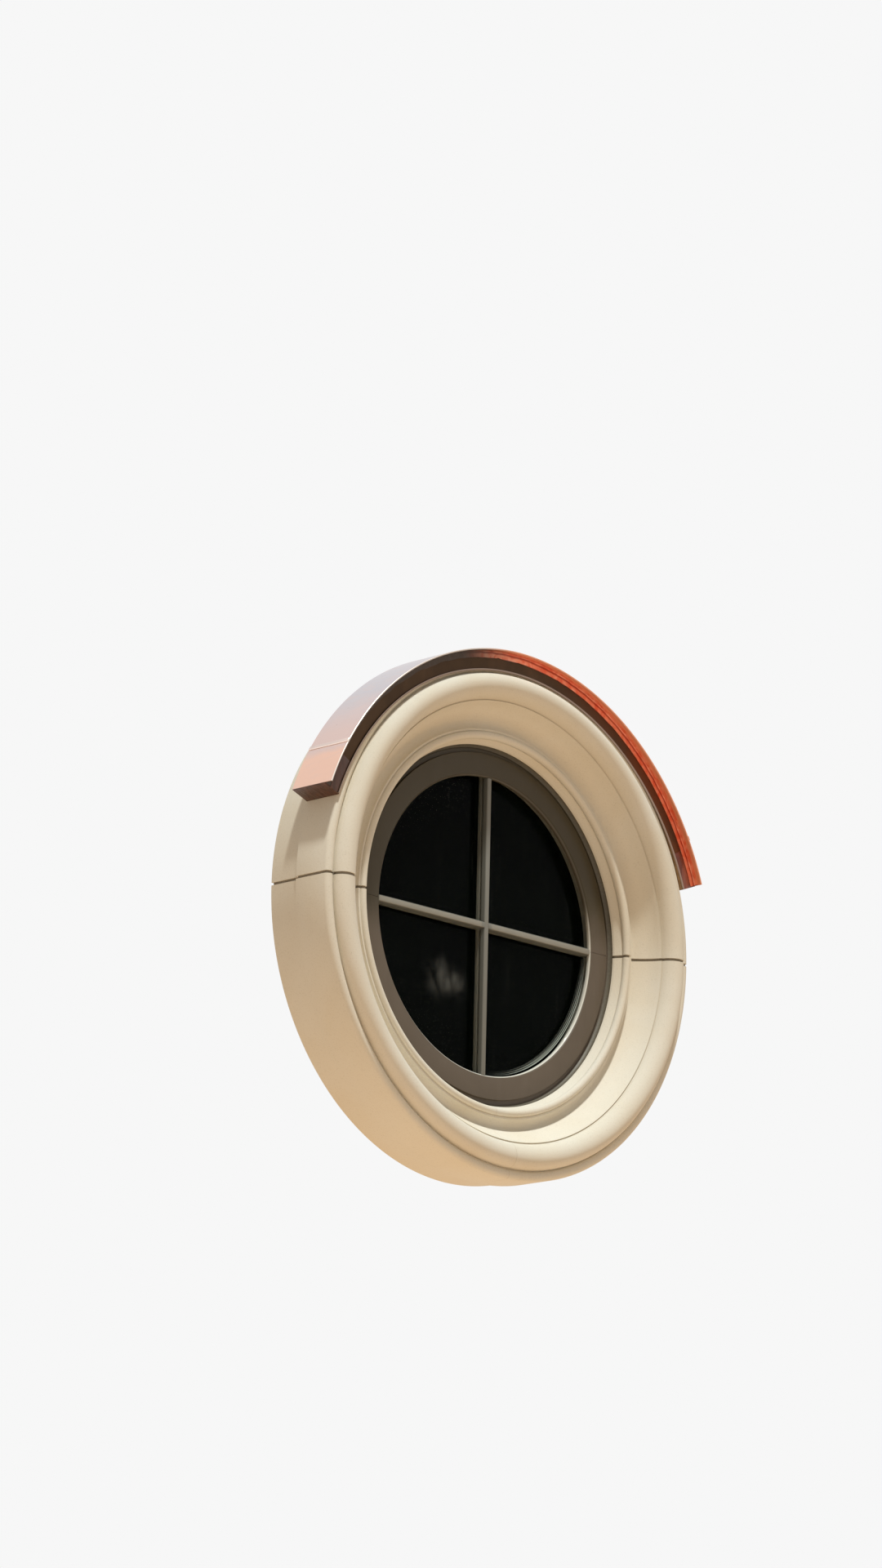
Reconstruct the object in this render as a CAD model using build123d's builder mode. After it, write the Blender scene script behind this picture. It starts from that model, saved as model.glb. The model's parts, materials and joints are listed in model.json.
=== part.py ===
from build123d import *
import os
from math import cos, degrees, hypot, radians, sin, sqrt

# Round window in a moulded stone surround, tucked under a short copper hood.
# Millimetres. Y runs inwards along the window's axis, X to the right and Z up. The origin
# is on that axis, level with the seat behind the drum. A section is drawn as (radius, depth)
# and turned about the window's axis, or about the hood's own, lower axis.

# Window frame: a timber core with a metal facing
sight_radius = 375.0
lip_bevel = 5.0
lip_depth = 12.0
face_width = 59.0
flange_setback = 8.0
flange_width = 12.0
flange_lip = 2.5
facing_thickness = 2.0
facing_joint = 0.8
face_stand = 16.0
clip_height = 4.0
clip_width = 16.0
clip_span = 2.6
clip_count = 12
core_setback = 6.0
core_inset = 4.0
core_depth = 80.0
rebate_cover = 29.0

# Double glazing
pane_thickness = 6.0
pane_edge_gap = 4.0
pane_arris = 0.8
cavity = 12.0
spacer_width = 8.0
edge_seal_width = 6.0
tape_width = 14.0
outer_tape = 3.0
inner_tape = 2.0
block_span = 11.0
block_angle = 32.0

# Timber beads on the room side
stop_inset = 7.0
stop_round = 9.0
stop_joint = 0.5

# Glazing bars
bar_width = 22.0
bar_face = 12.0
bar_stand = 12.0
bar_edge = 3.0
cavity_bar_width = 18.0
cavity_bar_gap = 0.4

# Weather seal and fixings between frame and stone
seal_gap = 6.0
seal_setback = 6.5
seal_depth = 9.0
seal_hollow = 1.5
inner_seal_depth = 6.0
rod_flats = 8
packer_depth = 26.0
packer_span = 7.0
packer_start = 24.0
screw_radius = 3.75
screw_head_radius = 6.5
screw_head_height = 4.0
screw_bite = 42.0
screw_count = 8

# Stone mouldings: widths outwards from the bore, and how far each stands before the frame's face
lip_stand = 10.0
fillet_width = 10.0
fillet_stand = 28.0
bead_width = 18.0
bead_stand = 45.0
ledge_stand = 36.0
ledge_width = 6.0
cove_width = 18.0
cove_stand = 21.0
splay_width = 44.0
splay_stand = 85.0
splay_hollow = 5.0
quirk_width = 4.0
quirk_depth = 3.0
roll_width = 64.0
roll_shoulder = 28.0
roll_stand = 115.0
back_quirk_width = 3.0
back_quirk_depth = 3.5
torus_width = 24.0
torus_stand = 91.0
drum_stand = 81.0
seat_width = 10.0
tail_length = 94.0
joint_width = 7.0
joint_rake = 4.0
dowel_radius = 6.0
dowel_length = 150.0
dowel_spacing = 90.0
dowel_y = 30.0

# Copper hood, turned about an axis that lies lower than the window's
hood_drop = 36.0
hood_rise = 29.2
hood_end_angle = 20.5
hood_overhang = 118.0
copper = 1.2
underlay = 1.0
deck = 9.0
fascia_gap = 4.0
fascia_stand = 93.2
hem_width = 5.0
hem_fold = 3.2
edge_leg = 18.0
edge_hem = 10.0
edge_play = 0.15
side_sheet_span = 9.5
sheet_joint_span = 0.04
welt_width = 12.0
welt_rise = 2.0
rib_thickness = 30.0
end_tab_span = 8.0
end_tab_margin = 1.0
bracket_angles = (28.0, 52.0, 128.0, 152.0)
bracket_width = 30.0
bracket_height = 17.0
bracket_thickness = 2.5
bracket_screw_radius = 2.5
bracket_screw_length = 20.0
bracket_screw_height = 9.0
bracket_head_radius = 4.5
bracket_head_height = 2.5
anchor_radius = 4.0
anchor_bite = 40.0
anchor_head_radius = 6.5
anchor_head_height = 4.5

# Clearances
hole_play = 0.3
seat_play = 0.2
scribe_play = 0.3
cope_play = 0.2

# Depths of the window unit
face_y = -face_stand
flange_y = face_y + flange_setback
lip_back_y = face_y + lip_depth
core_front_y = face_y + facing_thickness + clip_height
core_back_y = core_front_y + core_depth
outer_pane_y = lip_back_y + outer_tape
cavity_y = outer_pane_y + pane_thickness
inner_pane_y = cavity_y + cavity
inner_tape_y = inner_pane_y + pane_thickness
stop_y = inner_tape_y + inner_tape
seal_y = face_y + seal_setback
packer_y = core_front_y + packer_start
screw_y = packer_y + packer_depth / 2

# Radii of the window unit
face_radius = sight_radius + face_width
flange_radius = face_radius + flange_width
stone_radius = flange_radius + seal_gap
core_inner_radius = sight_radius + core_inset
core_radius = flange_radius - core_setback
rebate_radius = sight_radius + rebate_cover
pane_radius = rebate_radius - pane_edge_gap
spacer_outer_radius = pane_radius - edge_seal_width
spacer_radius = spacer_outer_radius - spacer_width
stop_radius = sight_radius + stop_inset
rod_radius = (stone_radius - core_radius) / 2 - seat_play
rod_ring_radius = (stone_radius + core_radius) / 2

# Radii of the stone mouldings, outwards from the bore
fillet_radius = stone_radius + fillet_width
bead_radius = fillet_radius + bead_width
ledge_radius = bead_radius + ledge_width
cove_radius = ledge_radius + cove_width
splay_radius = cove_radius + splay_width
quirk_radius = splay_radius + quirk_width
roll_radius = quirk_radius + roll_width
crest_radius = roll_radius - roll_shoulder
torus_radius = roll_radius + back_quirk_width
drum_radius = torus_radius + torus_width
tail_radius = drum_radius - seat_width
dowel_radii = [(stone_radius + tail_radius + side * dowel_spacing) / 2 for side in (-1, 1)]

# Radii about the hood's axis, and the hood's depths
hood_end = 180 - hood_end_angle
hood_radius = drum_radius + hood_drop + hood_rise
fascia_inner_radius = roll_radius + hood_drop + fascia_gap
sheet_radius = hood_radius - copper
deck_radius = sheet_radius - underlay
rib_radius = deck_radius - deck
strip_radius = sheet_radius - edge_play
strip_inner_radius = strip_radius - copper
hem_radius = strip_inner_radius - edge_play
rim_y = face_y - hood_overhang
fascia_y = face_y - fascia_stand
board_y = fascia_y + copper
bracket_front_y = board_y + rib_thickness
bracket_length = -rib_thickness - bracket_front_y
bracket_y = bracket_front_y + bracket_length / 2
scribe_radius = drum_radius + scribe_play

# Fixings, kept off the stone's joints
screw_angles = [360 / screw_count * (i + 0.5) for i in range(screw_count)]
clip_angles = [360 / clip_count * (i + 0.5) for i in range(clip_count)]

window_axis = Axis.Y
turning_axis = Axis((0, 0, 0), (0, -1, 0))
hood_axis = Axis((0, 0, -hood_drop), (0, -1, 0))


def ahead(stand):
    """Depth of a point that stands so far in front of the frame's face."""
    return face_y - stand


def outward(angle):
    """Direction away from the window's axis at an angle above the right-hand side."""
    return Vector(cos(radians(angle)), 0, sin(radians(angle)))


def radial_plane(angle, radius, depth):
    """Plane that faces away from the window's axis; its x points inwards along it."""
    origin = outward(angle) * radius + Vector(0, depth, 0)
    return Plane(origin=origin, x_dir=(0, 1, 0), z_dir=outward(angle))


def section_plane(angle, drop=0.0):
    """Plane through a turning axis at an angle: its x is the radius and its y the depth."""
    return Plane(origin=(0, 0, -drop), x_dir=outward(angle), z_dir=outward(angle + 90))


def hood_reach(radius, angle):
    """Distance from the hood's axis, at an angle about it, to a circle about the window's axis."""
    drop = hood_drop * cos(radians(angle))
    return hood_drop * sin(radians(angle)) + sqrt(radius**2 - drop**2)


def turned(*outline):
    """Full ring about the window's axis."""
    with BuildPart() as ring:
        with BuildSketch(Plane.XY):
            with BuildLine():
                Polyline(*outline, close=True)
            make_face()
        revolve(axis=window_axis)
    return ring.part


def turned_box(inner, outer, front, back):
    """Full ring of rectangular section."""
    return turned((inner, front), (outer, front), (outer, back), (inner, back))


def half(ring, side, gap):
    """Upper or lower half of a ring, cut back by half of the gap between the two."""
    with BuildPart() as piece:
        add(ring)
        split(bisect_by=Plane.XY.offset(side * gap / 2), keep=Keep.TOP if side > 0 else Keep.BOTTOM)
    return piece.part


def arc_blocks(inner, outer, front, back, span, angles):
    """Blocks that follow the window's curve, one centred on each angle."""
    with BuildPart() as blocks:
        for angle in angles:
            with BuildSketch(section_plane(angle - span / 2)):
                with BuildLine():
                    Polyline((inner, front), (outer, front), (outer, back), (inner, back), close=True)
                make_face()
            revolve(axis=turning_axis, revolution_arc=span)
    return blocks.part


def disc(radius, front, back):
    """Round pane with ground edges."""
    with BuildPart() as pane:
        with BuildSketch(Plane.XZ.offset(-back)):
            Circle(radius)
        extrude(amount=back - front)
        chamfer(pane.edges().filter_by(GeomType.CIRCLE), pane_arris)
    return pane.part


def hood_band(start, end, *outline):
    """Part of a ring about the hood's axis, between two angles."""
    with BuildPart() as band:
        with BuildSketch(section_plane(start, hood_drop)):
            with BuildLine():
                Polyline(*outline, close=True)
            make_face()
        revolve(axis=hood_axis, revolution_arc=end - start)
    return band.part


def save(part, name):
    """Label a finished piece and write it."""
    part.label = name
    export_step(part, f"parts/{name}.step")


os.makedirs("parts", exist_ok=True)

# Stone section: lip, fillet, bead, ledge, cove, splay, quirk, roll, torus, drum, seat and tail
with BuildSketch(Plane.XY) as surround_section:
    with BuildLine():
        Polyline(
            (stone_radius, tail_length),
            (stone_radius, ahead(lip_stand)),
            (fillet_radius, ahead(fillet_stand)),
        )
        ThreePointArc(
            (fillet_radius, ahead(fillet_stand)),
            (fillet_radius + bead_width / 2, ahead(bead_stand)),
            (bead_radius, ahead(ledge_stand)),
        )
        Line((bead_radius, ahead(ledge_stand)), (ledge_radius, ahead(ledge_stand)))
        EllipticalCenterArc(
            (cove_radius, ahead(ledge_stand)),
            cove_width,
            ledge_stand - cove_stand,
            start_angle=90,
            arc_size=90,
        )
        splay_length = hypot(splay_width, splay_stand - cove_stand)
        ThreePointArc(
            (cove_radius, ahead(cove_stand)),
            (
                cove_radius + splay_width / 2 + splay_hollow * (splay_stand - cove_stand) / splay_length,
                ahead((cove_stand + splay_stand) / 2 - splay_hollow * splay_width / splay_length),
            ),
            (splay_radius, ahead(splay_stand)),
        )
        Polyline(
            (splay_radius, ahead(splay_stand)),
            (splay_radius + quirk_width / 2, ahead(splay_stand - quirk_depth)),
            (quirk_radius, ahead(splay_stand)),
        )
        TangentArc(
            (crest_radius, ahead(roll_stand)),
            (quirk_radius, ahead(splay_stand)),
            tangent=(-1, 0),
        )
        CenterArc((crest_radius, ahead(roll_stand - roll_shoulder)), roll_shoulder, 270, 90)
        Polyline(
            (roll_radius, ahead(roll_stand - roll_shoulder)),
            (roll_radius, ahead(drum_stand)),
            (torus_radius, ahead(drum_stand)),
            (torus_radius, ahead(drum_stand + back_quirk_depth)),
        )
        ThreePointArc(
            (torus_radius, ahead(drum_stand + back_quirk_depth)),
            (torus_radius + torus_width / 2, ahead(torus_stand)),
            (drum_radius, ahead(drum_stand)),
        )
        Polyline(
            (drum_radius, ahead(drum_stand)),
            (drum_radius, 0),
            (tail_radius, 0),
            (tail_radius, tail_length),
            (stone_radius, tail_length),
        )
    make_face()

with BuildPart() as surround:
    revolve(surround_section.sketch, axis=window_axis)
    # dowel holes across the two joints
    with Locations(*[(side * radius, dowel_y, 0) for radius in dowel_radii for side in (-1, 1)]):
        Cylinder(dowel_radius + hole_play, dowel_length + 2 * hole_play, mode=Mode.SUBTRACT)
    # frame screws, from the bore outwards
    with BuildSketch(*[radial_plane(angle, core_radius, screw_y) for angle in screw_angles]):
        Circle(screw_radius + hole_play)
    extrude(amount=stone_radius - core_radius + screw_bite + hole_play, mode=Mode.SUBTRACT)
    # bracket anchors, from the drum inwards
    with BuildSketch(*[radial_plane(angle, scribe_radius, bracket_y) for angle in bracket_angles]):
        Circle(anchor_radius + hole_play)
    extrude(amount=-anchor_bite - scribe_play - hole_play, mode=Mode.SUBTRACT)

surround_upper = half(surround.part, 1, joint_width)
surround_lower = half(surround.part, -1, joint_width)
save(surround_upper, "surround_upper")
save(surround_lower, "surround_lower")

# Mortar, raked back from the mouldings all round
with BuildPart() as mortar_joint:
    with BuildSketch(Plane.XY):
        add(surround_section.sketch)
        for shift in ((-joint_rake, 0), (joint_rake, 0), (0, -joint_rake), (0, joint_rake)):
            with Locations(shift):
                add(surround_section.sketch, mode=Mode.INTERSECT)
    extrude(amount=joint_width / 2, both=True)
    with Locations(*[(radius, dowel_y, 0) for radius in dowel_radii]):
        Cylinder(dowel_radius + hole_play, joint_width, mode=Mode.SUBTRACT)
save(mortar_joint.part, "mortar_joint_right")
save(mirror(mortar_joint.part, about=Plane.YZ), "mortar_joint_left")

with BuildPart() as joint_dowels:
    with Locations(*[(side * radius, dowel_y, 0) for radius in dowel_radii for side in (-1, 1)]):
        Cylinder(dowel_radius, dowel_length)
save(joint_dowels.part, "joint_dowels")

# Timber core with the glazing rebate on the room side
core_ring = turned(
    (core_inner_radius, core_front_y),
    (face_radius - facing_thickness - seat_play, core_front_y),
    (face_radius - facing_thickness - seat_play, flange_y + facing_thickness + seat_play),
    (core_radius, flange_y + facing_thickness + seat_play),
    (core_radius, core_back_y),
    (rebate_radius, core_back_y),
    (rebate_radius, lip_back_y),
    (core_inner_radius, lip_back_y),
)
with BuildPart() as frame_core:
    add(core_ring)
    with BuildSketch(*[radial_plane(angle, core_inner_radius, screw_y) for angle in screw_angles]):
        Circle(screw_radius + hole_play)
    extrude(amount=stone_radius - core_inner_radius, mode=Mode.SUBTRACT)
    with BuildSketch(*[radial_plane(angle, core_inner_radius, screw_y) for angle in screw_angles]):
        Circle(screw_head_radius + hole_play)
    extrude(amount=rebate_radius - core_inner_radius + screw_head_height + hole_play, mode=Mode.SUBTRACT)
save(frame_core.part, "frame_core")

# Metal facing: sight lip, bevel, face, return and flange with a small upstand
facing = turned(
    (sight_radius, lip_back_y),
    (sight_radius, face_y + lip_bevel),
    (sight_radius + lip_bevel, face_y),
    (face_radius, face_y),
    (face_radius, flange_y),
    (flange_radius - facing_thickness, flange_y),
    (flange_radius - facing_thickness, flange_y - flange_lip),
    (flange_radius, flange_y - flange_lip),
    (flange_radius, flange_y + facing_thickness),
    (face_radius - facing_thickness, flange_y + facing_thickness),
    (face_radius - facing_thickness, face_y + facing_thickness),
    (sight_radius + lip_bevel + facing_thickness / 2, face_y + facing_thickness),
    (sight_radius + facing_thickness, face_y + lip_bevel + facing_thickness / 2),
    (sight_radius + facing_thickness, lip_back_y),
)
save(half(facing, 1, facing_joint), "cladding_upper")
save(half(facing, -1, facing_joint), "cladding_lower")

clip_radius = sight_radius + face_width / 2
cladding_clips = arc_blocks(
    clip_radius - clip_width / 2,
    clip_radius + clip_width / 2,
    face_y + facing_thickness,
    core_front_y,
    clip_span,
    clip_angles,
)
save(cladding_clips, "cladding_clips")

# Sealed double glazing on its tapes and blocks
save(disc(pane_radius, outer_pane_y, cavity_y), "outer_pane")
save(disc(pane_radius, inner_pane_y, inner_tape_y), "inner_pane")
save(turned_box(spacer_radius, spacer_outer_radius, cavity_y, inner_pane_y), "spacer_ring")
save(turned_box(spacer_outer_radius, pane_radius, cavity_y, inner_pane_y), "edge_seal")
save(
    turned_box(core_inner_radius, core_inner_radius + tape_width, lip_back_y, outer_pane_y),
    "glazing_tape_outer",
)
save(turned_box(stop_radius, stop_radius + tape_width, inner_tape_y, stop_y), "glazing_tape_inner")
setting_blocks = arc_blocks(
    pane_radius + seat_play,
    rebate_radius - seat_play,
    outer_pane_y,
    inner_tape_y,
    block_span,
    (270 - block_angle, 270 + block_angle),
)
save(setting_blocks, "setting_blocks")

# Timber beads on the room side, rounded towards the glass
with BuildPart() as interior_stop:
    with BuildSketch(Plane.XY):
        with BuildLine():
            Polyline(
                (stop_radius + stop_round, core_back_y),
                (rebate_radius - seat_play, core_back_y),
                (rebate_radius - seat_play, stop_y),
                (stop_radius, stop_y),
                (stop_radius, core_back_y - stop_round),
            )
            CenterArc((stop_radius + stop_round, core_back_y - stop_round), stop_round, 90, 90)
        make_face()
    revolve(axis=window_axis)
save(half(interior_stop.part, 1, stop_joint), "interior_stop_upper")
save(half(interior_stop.part, -1, stop_joint), "interior_stop_lower")


def bar_outline(pane_y, side, play=0.0):
    """Half-widths and depths of a bar that stands on a pane, outwards (-1) or inwards (1)."""
    wide = bar_width / 2 + play
    narrow = bar_face / 2 + play
    return [
        (-wide, pane_y),
        (-wide, pane_y + side * bar_edge),
        (-narrow, pane_y + side * (bar_stand + play)),
        (narrow, pane_y + side * (bar_stand + play)),
        (wide, pane_y + side * bar_edge),
        (wide, pane_y),
    ]


def cavity_outline(play=0.0):
    """Half-widths and depths of a bar between the panes."""
    wide = cavity_bar_width / 2 + play
    front = cavity_y + cavity_bar_gap - play
    back = inner_pane_y - cavity_bar_gap + play
    return [(-wide, front), (-wide, back), (wide, back), (wide, front)]


def upright_bar(outline, radius):
    """Bar from bottom to top, with ends coped to a circle."""
    with BuildPart() as bar:
        with BuildSketch(Plane.XY):
            with BuildLine():
                Polyline(*outline, close=True)
            make_face()
        extrude(amount=radius, both=True)
        with BuildSketch(Plane.XZ):
            Circle(radius)
        extrude(amount=core_depth, both=True, mode=Mode.INTERSECT)
    return bar.part


def cross_bar(outline, cutter, radius, side):
    """Half bar from the upright to a circle, coped to the upright's sides."""
    with BuildPart() as bar:
        with BuildSketch(Plane.YZ):
            with BuildLine():
                Polyline(*[(depth, across) for across, depth in outline], close=True)
            make_face()
        extrude(amount=side * radius)
        with BuildSketch(Plane.XZ):
            Circle(radius)
        extrude(amount=core_depth, both=True, mode=Mode.INTERSECT)
        with BuildSketch(Plane.XY):
            with BuildLine():
                Polyline(*cutter, close=True)
            make_face()
        extrude(amount=radius, both=True, mode=Mode.SUBTRACT)
    return bar.part


bar_sets = {
    "outer": (bar_outline(outer_pane_y, -1), bar_outline(outer_pane_y, -1, cope_play), sight_radius),
    "core": (cavity_outline(), cavity_outline(cope_play), spacer_radius),
    "inner": (bar_outline(inner_tape_y, 1), bar_outline(inner_tape_y, 1, cope_play), stop_radius),
}
for layer, (outline, cutter, radius) in bar_sets.items():
    save(upright_bar(outline, radius - cope_play), f"muntin_{layer}_vertical")
    save(cross_bar(outline, cutter, radius - cope_play, 1), f"muntin_{layer}_right")
    save(cross_bar(outline, cutter, radius - cope_play, -1), f"muntin_{layer}_left")

# Fixings of the frame to the stone
packer_blocks = arc_blocks(
    core_radius + seat_play,
    stone_radius - seat_play,
    packer_y,
    packer_y + packer_depth,
    packer_span,
    screw_angles,
)
with BuildPart() as frame_packers:
    add(packer_blocks)
    with BuildSketch(*[radial_plane(angle, core_inner_radius, screw_y) for angle in screw_angles]):
        Circle(screw_radius + hole_play)
    extrude(amount=stone_radius - core_inner_radius, mode=Mode.SUBTRACT)
save(frame_packers.part, "frame_packers")

screw_seat = rebate_radius + hole_play
with BuildPart() as frame_screws:
    with BuildSketch(*[radial_plane(angle, screw_seat, screw_y) for angle in screw_angles]):
        Circle(screw_radius)
    extrude(amount=stone_radius + screw_bite - screw_seat)
    with BuildSketch(*[radial_plane(angle, screw_seat, screw_y) for angle in screw_angles]):
        Circle(screw_head_radius)
    extrude(amount=screw_head_height)
save(frame_screws.part, "frame_screws")

# Weather seal: tooled bead in front, and a foam rod behind it, squeezed flat on all sides
perimeter_sealant = turned(
    (flange_radius + seat_play, seal_y),
    (flange_radius + seat_play, seal_y + seal_depth),
    (stone_radius - seat_play, seal_y + seal_depth),
    (stone_radius - seat_play, seal_y),
    ((stone_radius + flange_radius) / 2, seal_y + seal_hollow),
)
save(perimeter_sealant, "perimeter_sealant")

inner_seal_y = core_back_y - inner_seal_depth
rod_places = {
    "backer_rod": seal_y + seal_depth + seat_play + rod_radius,
    "inner_backer_rod": inner_seal_y - seat_play - rod_radius,
}
for name, depth in rod_places.items():
    with BuildPart() as rod:
        with BuildSketch(Plane.XY):
            with Locations((rod_ring_radius, depth)):
                RegularPolygon(rod_radius, rod_flats, major_radius=False, rotation=180 / rod_flats)
        revolve(axis=window_axis)
    save(rod.part, name)
save(
    turned_box(core_radius + seat_play, stone_radius - seat_play, inner_seal_y, core_back_y),
    "inner_sealant",
)

# Hood sheets: a crown with a folded welt along each side, and a narrow sheet below each
sheet_outline = [
    (sheet_radius, 0),
    (hood_radius, 0),
    (hood_radius, rim_y),
    (hem_radius - copper, rim_y),
    (hem_radius - copper, rim_y + copper + edge_hem),
    (hem_radius, rim_y + copper + edge_hem),
    (hem_radius, rim_y + copper),
    (sheet_radius, rim_y + copper),
]
welt_outline = [
    (hood_radius, 0),
    (hood_radius + welt_rise, 0),
    (hood_radius + welt_rise, rim_y),
    (hood_radius, rim_y),
]
crown_start = hood_end_angle + side_sheet_span
crown_end = hood_end - side_sheet_span
welt_span = degrees(welt_width / hood_radius)
crown_bands = [
    hood_band(crown_start, crown_end, *sheet_outline),
    hood_band(crown_start, crown_start + welt_span, *welt_outline),
    hood_band(crown_end - welt_span, crown_end, *welt_outline),
]
with BuildPart() as hood_crown_sheet:
    add(crown_bands)
save(hood_crown_sheet.part, "hood_crown_sheet")
side_sheet = hood_band(hood_end_angle, crown_start - sheet_joint_span, *sheet_outline)
save(side_sheet, "hood_side_sheet_right")
save(mirror(side_sheet, about=Plane.YZ), "hood_side_sheet_left")

# Edge strip: a leg on the fascia and a rim that the sheets are hemmed round
hood_edge_strip = hood_band(
    hood_end_angle,
    hood_end,
    (strip_radius, fascia_y),
    (strip_radius - edge_leg, fascia_y),
    (strip_radius - edge_leg, fascia_y - copper),
    (strip_inner_radius, fascia_y - copper),
    (strip_inner_radius, rim_y + copper + edge_play),
    (strip_radius, rim_y + copper + edge_play),
)
save(hood_edge_strip, "hood_edge_strip")

# Fascia with a hemmed inner edge, hugging the stone roll
hood_fascia = hood_band(
    hood_end_angle,
    hood_end,
    (fascia_inner_radius, board_y),
    (deck_radius, board_y),
    (deck_radius, fascia_y),
    (fascia_inner_radius + hem_width, fascia_y),
    (fascia_inner_radius + hem_width, fascia_y - hem_fold),
    (fascia_inner_radius, fascia_y - hem_fold),
)
save(hood_fascia, "hood_fascia")

hood_underlay = hood_band(
    hood_end_angle,
    hood_end,
    (deck_radius, board_y),
    (sheet_radius, board_y),
    (sheet_radius, 0),
    (deck_radius, 0),
)
save(hood_underlay, "hood_underlay")
hood_deck = hood_band(
    hood_end_angle,
    hood_end,
    (rib_radius, board_y),
    (deck_radius, board_y),
    (deck_radius, 0),
    (rib_radius, 0),
)
save(hood_deck, "hood_deck")

# Brackets stand on the drum between the ribs; their screws run into the ribs
bracket_planes = [radial_plane(angle, scribe_radius, bracket_y) for angle in bracket_angles]
bracket_points = [outward(angle) * (scribe_radius + bracket_screw_height) for angle in bracket_angles]
rib_faces = {-1: bracket_front_y, 1: -rib_thickness}


def bracket_screw_planes(side, depth):
    """Planes across the bracket screws of the front (-1) or rear (1) rib, facing that rib."""
    return [
        Plane(origin=point + Vector(0, depth, 0), x_dir=(1, 0, 0), z_dir=(0, side, 0))
        for point in bracket_points
    ]


for name, side, front in (("hood_front_rib", -1, board_y), ("hood_rear_rib", 1, -rib_thickness)):
    with BuildPart() as rib:
        with BuildSketch(Plane.XZ.offset(-front - rib_thickness)):
            with Locations((0, -hood_drop)):
                Circle(rib_radius)
            Circle(scribe_radius, mode=Mode.SUBTRACT)
            with BuildLine():
                ray = hood_radius * 2 * outward(hood_end_angle)
                Polyline(
                    (0, -hood_drop),
                    (ray.X, ray.Z - hood_drop),
                    (ray.X, ray.X),
                    (-ray.X, ray.X),
                    (-ray.X, ray.Z - hood_drop),
                    close=True,
                )
            make_face(mode=Mode.INTERSECT)
        extrude(amount=rib_thickness)
        with BuildSketch(*bracket_screw_planes(side, rib_faces[side])):
            Circle(bracket_screw_radius + hole_play)
        extrude(amount=bracket_screw_length + hole_play, mode=Mode.SUBTRACT)
    save(rib.part, name)

with BuildPart() as hood_brackets:
    with BuildSketch(*bracket_planes):
        Rectangle(bracket_length, bracket_width)
    extrude(amount=bracket_thickness)
    with BuildSketch(*bracket_planes):
        with Locations(*[(side * (bracket_length - bracket_thickness) / 2, 0) for side in (-1, 1)]):
            Rectangle(bracket_thickness, bracket_width)
    extrude(amount=bracket_height)
    with BuildSketch(*bracket_planes):
        Circle(anchor_radius + hole_play)
    extrude(amount=bracket_thickness, mode=Mode.SUBTRACT)
    with BuildSketch(*bracket_screw_planes(1, bracket_front_y)):
        Circle(bracket_screw_radius + hole_play)
    extrude(amount=bracket_length, mode=Mode.SUBTRACT)
save(hood_brackets.part, "hood_brackets")

anchor_planes = [
    radial_plane(angle, scribe_radius + bracket_thickness, bracket_y) for angle in bracket_angles
]
with BuildPart() as bracket_anchors:
    with BuildSketch(*anchor_planes):
        Circle(anchor_radius)
    extrude(amount=-bracket_thickness - scribe_play - anchor_bite)
    with BuildSketch(*anchor_planes):
        Circle(anchor_head_radius)
    extrude(amount=anchor_head_height)
save(bracket_anchors.part, "bracket_anchors")

with BuildPart() as bracket_screws:
    for side in (-1, 1):
        leg_y = rib_faces[side] - side * bracket_thickness
        with BuildSketch(*bracket_screw_planes(side, leg_y)):
            Circle(bracket_screw_radius)
        extrude(amount=bracket_thickness + bracket_screw_length)
        with BuildSketch(*bracket_screw_planes(side, leg_y)):
            Circle(bracket_head_radius)
        extrude(amount=-bracket_head_height)
save(bracket_screws.part, "bracket_screws")

# Copper wrapped ends: a plate under the hood's end and a tab turned up over the fascia
tab_inner_radius = fascia_inner_radius + hem_width + end_tab_margin
tab_outer_radius = strip_radius - edge_leg - end_tab_margin
cap_inner_radius = hood_reach(scribe_radius, hood_end_angle)
end_tab = hood_band(
    hood_end_angle,
    hood_end_angle + end_tab_span,
    (tab_inner_radius, fascia_y),
    (tab_outer_radius, fascia_y),
    (tab_outer_radius, fascia_y - copper),
    (tab_inner_radius, fascia_y - copper),
)
with BuildPart() as hood_end_cap:
    with BuildSketch(section_plane(hood_end_angle, hood_drop)):
        with BuildLine():
            Polyline(
                (cap_inner_radius, 0),
                (hood_radius, 0),
                (hood_radius, fascia_y),
                (tab_outer_radius, fascia_y),
                (tab_outer_radius, fascia_y - copper),
                (tab_inner_radius, fascia_y - copper),
                (tab_inner_radius, fascia_y),
                (cap_inner_radius, fascia_y),
                close=True,
            )
        make_face()
    extrude(amount=-copper)
    add(end_tab)
save(hood_end_cap.part, "hood_end_cap_right")
save(mirror(hood_end_cap.part, about=Plane.YZ), "hood_end_cap_left")
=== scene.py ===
"""Looks for a round window: a brown faced frame in a moulded stone ring, under a curved copper hood."""

import json
import logging
import math
from dataclasses import dataclass
from enum import Enum
from typing import Any, Iterable

import bmesh
import bpy
from mathutils import Matrix, Vector, noise


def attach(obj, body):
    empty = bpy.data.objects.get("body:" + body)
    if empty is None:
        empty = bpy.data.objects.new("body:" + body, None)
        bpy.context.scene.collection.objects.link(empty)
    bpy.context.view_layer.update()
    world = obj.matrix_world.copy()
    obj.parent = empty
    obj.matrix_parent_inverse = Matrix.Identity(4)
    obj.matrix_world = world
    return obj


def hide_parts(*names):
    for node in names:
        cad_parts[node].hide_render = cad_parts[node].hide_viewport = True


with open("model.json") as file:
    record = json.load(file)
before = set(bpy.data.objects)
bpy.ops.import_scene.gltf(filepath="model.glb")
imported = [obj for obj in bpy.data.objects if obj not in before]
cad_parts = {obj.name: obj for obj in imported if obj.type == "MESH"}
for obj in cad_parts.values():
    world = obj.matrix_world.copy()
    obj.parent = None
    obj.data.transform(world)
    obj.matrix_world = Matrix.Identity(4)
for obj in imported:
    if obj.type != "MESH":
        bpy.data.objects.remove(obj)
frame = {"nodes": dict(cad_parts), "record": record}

Point = tuple[float, float]
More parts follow.
